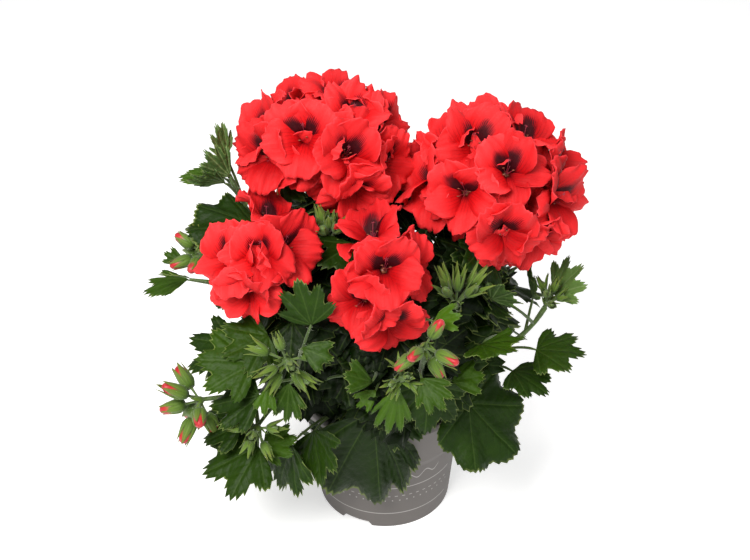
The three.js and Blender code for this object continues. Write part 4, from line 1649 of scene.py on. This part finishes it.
    def stem(self, form: Form, hairs: Form, name: str) -> None:
        """Adds a stem with its leaf nodes and hairs.

        Args:
            form: The mesh it joins.
            hairs: The mesh that its hairs join.
            name: The stem.
        """
        steps = self.stem_steps
        points = curve_points(STEMS[name], steps)
        draw = Draws(len(name) * 31)
        radii = []
        for i in range(steps + 1):
            plain = mix(self.foot_radius, self.top_radius, min(1, i / steps * 1.25))
            radii.append(plain * (1.12 if i % 5 == 3 else 1.0) * draw.between(0.97, 1.03))
        form.tube(points, radii, 10, tone=lambda u, v: v * 0.5)
        self.fur(hairs, points, radii, self.stem_hairs, draw)

    @staticmethod
    def fur(hairs: Form, points: Sequence[Vector], radii: Sequence[float], count: int,
            draw: Draws) -> None:
        """Adds fine hairs along a stalk.

        Args:
            hairs: The mesh they join.
            points: The stalk's middle line in mm.
            radii: Its radius at each point.
            count: How many hairs.
            draw: The stream of numbers.
        """
        for _ in range(count):
            place = draw() * (len(points) - 1.001)
            i = int(place)
            at = points[i].lerp(points[i + 1], place - i)
            way = (points[i + 1] - points[i]).normalized()
            out = square_to(heading(draw() * 360, draw.between(-60, 60)), way)
            root = at + out * radii[i] * 0.9
            hairs.spike(root, root + out * draw.between(0.9, 1.7) + way * draw.between(0, 0.5), 0.08)

    def stalk(self, form: Form, leaf: Leaf, hairs: Form | None = None) -> None:
        """Adds a leaf's stalk and its hairs.

        Args:
            form: The mesh it joins.
            leaf: The leaf.
            hairs: The mesh that its hairs join. An inner leaf's stalk has none.
        """
        points = curve_points(leaf.stalk, len(self.stalk_radii) - 1)
        points[-1] = leaf.base + leaf.forward * 0.6 - leaf.normal * 0.5
        # painted shade: the stalk of a leaf painted dark is darker too
        form.tube(points, self.stalk_radii, 7, tone=0.2 + 0.6 * leaf.tone)
        if hairs:
            self.fur(hairs, points, self.stalk_radii, self.stalk_hairs, Draws(leaf.number + 3))

    def fill(self) -> list[Leaf]:
        """Leaves inside the bush, painted dark as shade, clear of the flower heads and of the pot.

        Returns:
            The leaves.
        """
        made = []
        names = list(STEMS)
        middle, radii = Vector(self.fill_middle), Vector(self.fill_radii)
        beside, low = self.beside_rim

        def allowed(point: Vector) -> bool:
            """Whether a leaf may pass through a point.

            Args:
                point: The point in mm.

            Returns:
                Whether it is inside the bush, above the rim and clear of the blooms.
            """
            inside = Vector(d / r for d, r in zip(point - middle, radii)).length < 1
            over_rim = point.z > self.over_rim or math.hypot(point.x, point.y) > beside and point.z > low
            clear = True
            for head in HEADS.values():
                away = point - Vector(head.centre)
                near = max(head.reach) + self.clearance if away.z > -14 else max(head.reach) * 0.6
                clear = clear and away.length > near
            return inside and over_rim and clear

        for i in range(self.fill_tries):
            draw = Draws(self.fill_seed + i)
            name = names[i % len(names)]
            root = self.stem_point(name, draw.between(*self.fill_stem[i % 2]))
            out = root - middle
            bearing = math.degrees(math.atan2(out.y, out.x))
            bearing += draw.between(-self.fill_swing, self.fill_swing)
            base = root + heading(bearing, draw.between(*self.fill_rise)) * draw.between(*self.fill_stalk)
            length = draw.between(*self.fill_length)
            bearing += draw.between(-self.fill_turn, self.fill_turn)
            tip = base + heading(bearing, draw.between(*self.fill_slope)) * length
            if all(allowed(point) for point in (base, tip, base.lerp(tip, 0.5))):
                spread = draw.between(*self.fill_spread)
                leaf = self.leaf_at(name, tuple(base), tuple(tip), spread, self.fill_seed + i)
                leaf.root = root
                # painted shade: the inner leaves are dark, a little less so toward the sides
                leaf.tone = draw.between(*self.fill_shade_tone)
                leaf.tone += self.side_less_shade if abs(tip.x) > self.side else 0
                made.append(leaf)
        for i, (base, tip) in enumerate(GAP_LEAVES):
            leaf = self.leaf_at("back", base, tip, self.gap_spread, self.gap_seed + i)
            # painted shade: these leaves are nearly black
            leaf.tone = self.gap_shade_tone
            made.append(leaf)
        LOG.info("inner leaves: %d", len(made))
        return made

    def build(self, dress: "Wardrobe") -> None:
        """Builds every stem with its leaves, buds and flower stalks.

        Args:
            dress: The materials.
        """
        placed = self.placed()
        for name in STEMS:
            stalks, hairs, blades = Form("tone"), Form("tone"), Form(*BLADE_VALUES)
            self.stem(stalks, hairs, name)
            for leaf in placed[name]:
                self.stalk(stalks, leaf, hairs)
                self.blade(blades, leaf)
            Umbels(name, stalks, hairs).build(dress)
            piece = stalks.finish(f"stalks_{name}", (dress.stalk,), "foliage", outward=True)
            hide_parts(f"stem_{name}")
            if placed[name]:
                piece = blades.finish(f"leaves_{name}", (dress.leaf, dress.leaf_back), "foliage")
                thicken(piece, self.blade_thickness, two_sided=True)
            hairs.finish(f"hairs_{name}", (dress.hair,), "foliage")
        self.build_inner(dress)

    def build_inner(self, dress: "Wardrobe") -> None:
        """Builds the inner leaves, in one piece for each quarter of the bush.

        Args:
            dress: The materials.
        """
        leaves = self.fill()
        for quarter, (side, back) in enumerate(((1, 1), (-1, 1), (-1, -1), (1, -1)), start=1):
            stalks, blades = Form("tone"), Form(*BLADE_VALUES)
            for leaf in leaves:
                if (leaf.base.x >= 0) == (side > 0) and (leaf.base.y >= 0) == (back > 0):
                    self.stalk(stalks, leaf)
                    self.blade(blades, leaf, coarse=True)
            stalks.finish(f"stalks_of_inner_leaves_{quarter}", (dress.stalk,), "foliage", outward=True)
            piece = blades.finish(f"inner_leaves_{quarter}", (dress.leaf, dress.leaf_back), "foliage")
            thicken(piece, self.blade_thickness, two_sided=True)


@dataclass
class Umbels:
    """The flower stalks, calyxes and bud clusters of one stem."""

    stem: str
    stalks: Form
    hairs: Form
    sepals: Form = field(default_factory=lambda: Form("tone"))
    cores: Form = field(default_factory=lambda: Form("upper", "tone"))
    knob: float = 2.8
    calyx_length: float = 7
    hub_depth: float = 1.7
    gap: float = 0.3
    ring: int = 5
    sepal_thickness: float = 0.3
    core_shape: tuple[Span, ...] = (
        (0.0, 0.5), (0.12, 0.76), (0.3, 0.93), (0.5, 0.96), (0.7, 0.88), (0.85, 0.70), (0.95, 0.44),
        (1.0, 0.05))
    red_reach: Span = (0.94, 1.20)
    green_reach: float = 0.66
    hairs_each: int = 16
    flower_radii: tuple[float, ...] = (1.0, 0.9, 0.9, 0.9, 0.9, 0.9, 0.9, 1.0, 1.35, 1.9, 2.2)
    cluster_radii: Span = (1.5, 1.1)
    bud_stalk_share: Span = (0.35, 0.6)
    bud_size: Span = (0.85, 1.12)

    def build(self, dress: "Wardrobe") -> None:
        """Builds the stem's umbels.

        Args:
            dress: The materials.
        """
        head = HEADS.get(self.stem)
        if head:
            self.lump(Vector(head.centre))
            for index in range(len(head.blooms)):
                self.flower_stalk(head, bloom_of(head, index))
        clusters = [cluster for cluster in CLUSTERS if cluster.stem == self.stem]
        for cluster in clusters:
            self.cluster(cluster)
        if head or clusters:
            piece = self.sepals.finish(f"sepals_{self.stem}", (dress.bud,), "foliage")
            thicken(piece, self.sepal_thickness, two_sided=False)
        if clusters:
            self.cores.finish(f"buds_{self.stem}", (dress.bud_core,), "petals", outward=True)

    def lump(self, centre: Vector) -> None:
        """Adds the small knob where an umbel's stalks meet.

        Args:
            centre: Its middle in mm.
        """
        made = bmesh.ops.create_icosphere(self.stalks.mesh, subdivisions=2, radius=self.knob * MM)
        for vert in made["verts"]:
            vert.co += centre * MM
            vert[self.stalks.layers["tone"]] = 0.6
            for face in vert.link_faces:
                face.smooth = True

    def flower_stalk(self, head: Head, bloom: Bloom) -> None:
        """Adds the stalk and the calyx behind a bloom.

        Args:
            head: The flower head.
            bloom: The flower.
        """
        brim = bloom.throat - bloom.axis * (self.hub_depth + self.gap)
        neck = brim - bloom.axis * self.calyx_length
        centre = Vector(head.centre)
        bow = centre.lerp(neck, 0.6) + (neck - centre).normalized() * 2
        points = curve_points((centre, bow, neck), 7) + [neck.lerp(brim, 0.35), neck.lerp(brim, 0.7), brim]
        self.stalks.tube(points, self.flower_radii, 8, tone=0.7)
        self.fur(points, self.flower_radii, bloom.number)
        for k in range(self.ring):
            self.sepal(neck.lerp(brim, 0.55), bloom.axis, bloom.upright, k, root=1.8, length=9.5,
                       width=4.6, flare=7.2, tone=0.2)

    def fur(self, points: Sequence[Vector], radii: Sequence[float], seed: int) -> None:
        """Adds the hairs of a flower stalk or a bud."""
        Foliage.fur(self.hairs, points, radii, self.hairs_each, Draws(seed + 600))

    def sepal(self, start: Vector, axis: Vector, side: Vector, index: int, root: float, length: float,
              width: float, flare: float, tone: float) -> None:
        """Adds one pointed sepal.

        Args:
            start: The middle of the ring that it grows from.
            axis: The way it points.
            side: The side of the first sepal.
            index: Which sepal of the ring.
            root: Its distance from the middle at its root.
            length: Its length.
            width: Its width.
            flare: How far out its tip is, beyond its root.
            tone: How red its tip is.
        """
        across = square_to(side, axis)
        out = turned(across, axis, index * 72 + 36)
        wide = axis.cross(out)

        def place(u: float, v: float) -> Vector:
            """A point of the sepal, which bellies over the bud and narrows to its tip.

            Args:
                u: The place across it, from 0 to 1.
                v: The place along it, from 0 to 1.

            Returns:
                The point in mm.
            """
            x = 1 - 2 * u
            taper = (1 - v ** 1.7) * (0.62 + 0.38 * math.sin(math.pi * min(0.5, v * 1.4)))
            belly = 0.5 * math.sin(math.pi * min(1, v * 1.25))
            away = root * (0.55 + 0.45 * min(1, v * 5)) + belly + flare * v ** 1.8
            away -= x * x * taper * width * 0.22
            return start + axis * (length * v) + out * away + wide * (x * taper * width * 0.5)

        self.sepals.sheet(4, 8, place, merge=True, tone=tone)

    def cluster(self, cluster: Cluster) -> None:
        """Adds a bud cluster on its stalk.

        Args:
            cluster: The cluster.
        """
        start = bezier(STEMS[self.stem], min(cluster.at, 0.98))
        centre = Vector(cluster.centre)
        bow = start.lerp(centre, 0.5) + Vector((0, 0, (centre - start).length * 0.12))
        points = curve_points((start, bow, centre), 8)
        radii = [mix(*self.cluster_radii, i / 8) for i in range(9)]
        self.stalks.tube(points, radii, 8, tone=0.5)
        self.fur(points, radii, cluster.buds)
        self.lump(centre)
        facing = Vector(cluster.facing).normalized()
        across = square_to(Vector((0.3, 1, 0.2)), facing)
        up = facing.cross(across)
        draw = Draws(round(centre.z) + cluster.buds)
        for k in range(self.ring):
            self.sepal(centre - facing * 1.5, facing, across, k, root=2.4, length=6.5, width=4.4,
                       flare=draw.between(3, 6), tone=0.0)
        for i in range(cluster.buds):
            lean = math.radians(cluster.spread) * math.sqrt((i + 0.3) / cluster.buds)
            turn = math.radians(GOLDEN_TURN) * i
            along = (facing * math.cos(lean) + across * (math.sin(lean) * math.cos(turn))
                     + up * (math.sin(lean) * math.sin(turn)))
            stalk_length = cluster.length * draw.between(*self.bud_stalk_share)
            length = cluster.length * draw.between(*self.bud_size)
            self.bud(cluster, i, centre + along * (self.knob + stalk_length), along, length)

    def bud(self, cluster: Cluster, index: int, foot: Vector, along: Vector, length: float) -> None:
        """Adds one bud: its stalk, its five sepals and the furled petals inside.

        Args:
            cluster: The cluster.
            index: Which bud of the cluster.
            foot: Where the bud starts, in mm.
            along: The way it points.
            length: Its length in mm.
        """
        draw = Draws(index + round(cluster.centre[0]) + 900)
        red = cluster.mood is Mood.COLOURING
        belly = cluster.belly * (1.45 if red else 1.15)
        points = [Vector(cluster.centre).lerp(foot, i / 4) for i in range(5)] + [foot + along * 1.2]
        self.stalks.tube(points, [0.85, 0.75, 0.75, 0.8, 1.0, belly * 0.6], 7, tone=0.8)
        side = square_to(Vector((0.2, 0.5, 1)), along)
        reach = length * (draw.between(*self.red_reach) if red else self.green_reach)
        core = [foot + along * (reach * t) for t, _ in self.core_shape]
        self.cores.tube(core, [belly * r for _, r in self.core_shape], 10, upper=float(red), tone=draw())
        open_share = draw()
        flare = draw.between(-0.2, 0.8) if red else 1 + 6.5 * open_share
        for k in range(self.ring):
            tip = flare - belly * (0.35 if red else 0.9) + draw.between(-0.3, 0.6)
            self.sepal(foot, along, side, k, root=belly * 0.98, length=length * draw.between(0.98, 1.15),
                       width=belly * (1.42 if red else 1.7), flare=tip,
                       tone=0.3 if red else draw.between(0, 0.3))
        middle_line = [foot + along * (length * t) for t in (0.0, 0.3, 0.6)]
        self.fur(middle_line, [belly, belly, belly * 0.9], index + 40)


# The pot and its peat


@dataclass
class Pot:
    """The nursery pot: a tapered body, a wider collar and a rolled rim, on a notched foot."""

    height: float = 94
    wall: float = 1.4
    floor: float = 2.4
    base_radius: float = 46
    body_radius: float = 50.6
    body_top: float = 55
    collar_radius: float = 53.2
    collar_foot: float = 60
    rim_radius: float = 60
    lip_height: float = 5
    sides: int = 128
    notches: int = 3
    first_notch: float = -114.5
    notch_half: float = 13
    notch_rise: float = 4
    notch_inner: float = 41

    def profile(self) -> list[tuple[float, float]]:
        """The pot's section, from the middle of the foot over the rim to the floor.

        Returns:
            The radius and height of each ring in mm.
        """
        lip = self.height - self.lip_height
        base, body, collar, rim = self.base_radius, self.body_radius, self.collar_radius, self.rim_radius
        foot = [(0, 0), (30, 0), (self.notch_inner, 0), (self.notch_inner + 0.6, 0), (base - 0.8, 0),
                (base - 0.2, 0.3), (base, 1.0)]
        outside = [(mix(base, body, 0.1), 0.1 * self.body_top), (mix(base, body, 0.5), 0.5 * self.body_top),
                   (body - 0.1, self.body_top - 1), (body + 0.3, self.body_top + 0.4),
                   (collar - 0.4, self.collar_foot - 0.6), (collar, self.collar_foot + 0.4)]
        rolled = [(rim - 3.5, lip - 1.6), (rim - 3.0, lip - 0.8), (rim - 0.5, lip - 0.1), (rim, lip + 0.6),
                  (rim - 0.3, self.height - 1.2), (rim - 0.9, self.height - 0.3),
                  (rim - 1.8, self.height), (rim - 2.9, self.height - 0.4), (rim - 3.5, self.height - 1.4)]
        inside = [(collar - self.wall, self.collar_foot - 0.6), (body - self.wall, self.body_top - 1),
                  (base - self.wall, self.floor), (0, self.floor)]
        return foot + outside + rolled + inside

    def notch_height(self, bearing: float) -> float:
        """How far the foot's edge is raised: steep at one end of a notch, sloped at the other.

        Args:
            bearing: Degrees around +Z from +X.

        Returns:
            The rise in mm.
        """
        highest = 0.0
        for i in range(self.notches):
            middle = self.first_notch + i * 360 / self.notches
            off = (bearing - middle + 180) % 360 - 180
            rise = min((off + self.notch_half) / 0.8, (self.notch_half - off) / 3.2)
            highest = max(highest, min(1, rise))
        return highest * self.notch_rise

    def build(self, dress: "Wardrobe") -> None:
        """Spins the pot and raises its foot's edge at the notches.

        Args:
            dress: The materials.
        """
        form = Form()
        rings = self.profile()
        verts = [form.mesh.verts.new((r * MM, 0, z * MM)) for r, z in rings]
        edges = [form.mesh.edges.new(pair) for pair in zip(verts, verts[1:])]
        bmesh.ops.spin(form.mesh, geom=verts + edges, cent=(0, 0, 0), axis=(0, 0, 1), dvec=(0, 0, 0),
                       angle=2 * math.pi, steps=self.sides, use_merge=True, use_duplicate=False)
        bmesh.ops.remove_doubles(form.mesh, verts=form.mesh.verts, dist=1e-5)
        for vert in form.mesh.verts:
            radius = math.hypot(vert.co.x, vert.co.y) / MM
            low = vert.co.z / MM < 1.2
            if low and radius > self.notch_inner + 0.3:
                bearing = math.degrees(math.atan2(vert.co.y, vert.co.x))
                vert.co.z = max(vert.co.z, self.notch_height(bearing) * MM + vert.co.z * 0.3)
        for face in form.mesh.faces:
            face.smooth = True
        piece = form.finish("nursery_pot", (dress.pot,), "pot", outward=True)
        piece.data.set_sharp_from_angle(angle=math.radians(38))
        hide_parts("pot")


@dataclass
class Peat:
    """The lumpy peat that fills the pot."""

    top: float = 84
    edge: float = 54.6
    foot: float = 2.8
    foot_radius: float = 44.2
    rings: int = 26
    sides: int = 96
    lump: float = 1.6
    side_rings: tuple[Span, ...] = ((51.0, 60.0), (48.4, 54.0))
    crumbs: int = 420
    crumb_seed: int = 7000
    crumb_size: Span = (0.7, 2.4)

    def height(self, x: float, y: float) -> float:
        """The height of the peat's top.

        Args:
            x: The place along X in mm.
            y: The place along Y in mm.

        Returns:
            The height in mm.
        """
        swell = self.lump * math.sin(x * 0.21) * math.cos(y * 0.17 + 1)
        grain = noise.noise(Vector((x, y, 3)) * 0.35) * 1.1 + noise.noise(Vector((x, y, 9)) * 1.1) * 0.5
        return self.top + swell * 0.7 + grain

    def build(self, dress: "Wardrobe") -> None:
        """Builds the peat's body and the crumbs on its top.

        Args:
            dress: The materials.
        """
        form = Form()
        below = (*self.side_rings, (self.foot_radius, self.foot), (0, self.foot))
        steps = self.rings + len(below)

        def place(u: float, v: float) -> Vector:
            """A point of the peat: its top from the middle out, then its side and its underside.

            Args:
                u: The place round it, from 0 to 1.
                v: The place from the top's middle to the underside's, from 0 to 1.

            Returns:
                The point in mm.
            """
            turn = 2 * math.pi * u
            ring = round(v * steps)
            if ring <= self.rings:
                radius = self.edge * ring / self.rings
                x, y = radius * math.cos(turn), radius * math.sin(turn)
                return Vector((x, y, self.height(x, y) if radius else self.top))
            radius, z = below[ring - self.rings - 1]
            return Vector((radius * math.cos(turn), radius * math.sin(turn), z))

        form.sheet(self.sides, steps, place, merge=True)
        for i in range(self.crumbs):
            draw = Draws(self.crumb_seed + i)
            radius, turn = self.edge * 0.96 * math.sqrt(draw()), draw() * 2 * math.pi
            x, y = radius * math.cos(turn), radius * math.sin(turn)
            size = draw.between(*self.crumb_size) ** 1.2
            crumb = bmesh.ops.create_icosphere(form.mesh, subdivisions=1, radius=size * MM)
            centre = Vector((x, y, self.height(x, y) + size * 0.2)) * MM
            for vert in crumb["verts"]:
                vert.co = centre + vert.co * (1 + 0.35 * noise.noise(vert.co * 900 + centre * 800))
        piece = form.finish("peat_fill", (dress.peat,), "peat", outward=True)
        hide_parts("soil")


# Materials, light and camera


class Wardrobe:
    """Every material of the plant and its pot."""

    def __init__(self) -> None:
        """Builds the materials."""
        self.petal = PetalFinish("red petal").material()
        self.petal_back = PetalFinish("red petal underside", paleness=0.35).material()
        self.leaf = LeafFinish("green leaf").material()
        self.leaf_back = LeafFinish(
            "leaf underside", dark=(0.008, 0.018, 0.005), middle=(0.045, 0.085, 0.022),
            young=(0.110, 0.190, 0.045), vein=(0.150, 0.220, 0.080), vein_strength=0.8).material()
        self.stalk = StalkFinish("green stalk").material()
        self.bud = BudFinish("green sepal").material()
        self.bud_core = FurledFinish("furled petal").material()
        self.stamen = StamenFinish("pink filament").material()
        self.hair = PlainFinish("pale hair", (0.62, 0.70, 0.50), (0.75, 0.80, 0.66), 0.7).material()
        self.pot = PotFinish("taupe pot").material()
        self.peat = PeatFinish("damp peat").material()


@dataclass(frozen=True)
class Lamp:
    """A soft square light: its place and side in mm, its power in watts and its colour."""

    name: str
    place: tuple[float, float, float]
    side: float
    power: float
    colour: Colour


@dataclass
class Studio:
    """The pale floor, the soft light and the camera, which looks down at the plant."""

    eye: tuple[float, float, float] = (-6.9, -700.4, 641.8)
    pitch: float = 33.7
    lens: float = 62.4
    sensor: float = 36.0
    floor_half: float = 6
    sky: float = 0.34
    aim: tuple[float, float, float] = (0, 0, 160)
    lamps: tuple[Lamp, ...] = (
        Lamp("key light", (-280, -600, 900), 380, 11.8, (1.0, 0.985, 0.96)),
        Lamp("fill light", (620, -520, 520), 600, 1.4, (0.96, 0.98, 1.0)),
        Lamp("top light", (60, 160, 980), 700, 2.4, (1.0, 1.0, 1.0)),
    )

    def build(self) -> None:
        """Sets up the floor, the lights, the background and the camera."""
        scene = bpy.context.scene
        self.lay_floor()
        for lamp in self.lamps:
            self.hang(lamp)
        world = bpy.data.worlds.new("studio")
        world.use_nodes = True
        background = world.node_tree.nodes["Background"]
        background.inputs["Color"].default_value = WHITE
        background.inputs["Strength"].default_value = self.sky
        scene.world = world
        scene.view_settings.view_transform = "Standard"
        camera = bpy.data.cameras.new("camera")
        camera.lens, camera.sensor_width, camera.clip_start = self.lens, self.sensor, 0.01
        eye = bpy.data.objects.new("camera", camera)
        eye.location = Vector(self.eye) * MM
        eye.rotation_euler = (math.radians(90 - self.pitch), 0, 0)
        scene.collection.objects.link(eye)
        scene.camera = eye

    def lay_floor(self) -> None:
        """Lays the plain pale floor."""
        form = Form()
        bmesh.ops.create_grid(form.mesh, x_segments=1, y_segments=1, size=self.floor_half)
        data = bpy.data.meshes.new("floor")
        form.mesh.to_mesh(data)
        form.mesh.free()
        data.materials.append(PaperFinish("pale floor").material())
        floor = bpy.data.objects.new("floor", data)
        bpy.context.scene.collection.objects.link(floor)

    def hang(self, lamp: Lamp) -> None:
        """Hangs a light that faces the plant.

        Args:
            lamp: The light.
        """
        light = bpy.data.lights.new(lamp.name, "AREA")
        light.shape, light.size = "SQUARE", lamp.side * MM
        light.energy, light.color = lamp.power, lamp.colour
        hung = bpy.data.objects.new(lamp.name, light)
        hung.location = Vector(lamp.place) * MM
        toward = Vector(self.aim) * MM - hung.location
        hung.rotation_euler = toward.to_track_quat("-Z", "Y").to_euler()
        bpy.context.scene.collection.objects.link(hung)


def main() -> None:
    """Builds the plant, its pot and its studio."""
    logging.basicConfig(level=logging.INFO, format="%(name)s: %(message)s")
    dress = Wardrobe()
    Pot().build(dress)
    Peat().build(dress)
    for name, head in HEADS.items():
        Flowers(name, head, *SMALL_PETALS.get(name, ())).build(dress)
    Foliage().build(dress)
    Studio().build()
    bpy.context.view_layer.update()


if __name__ == "__main__":
    main()
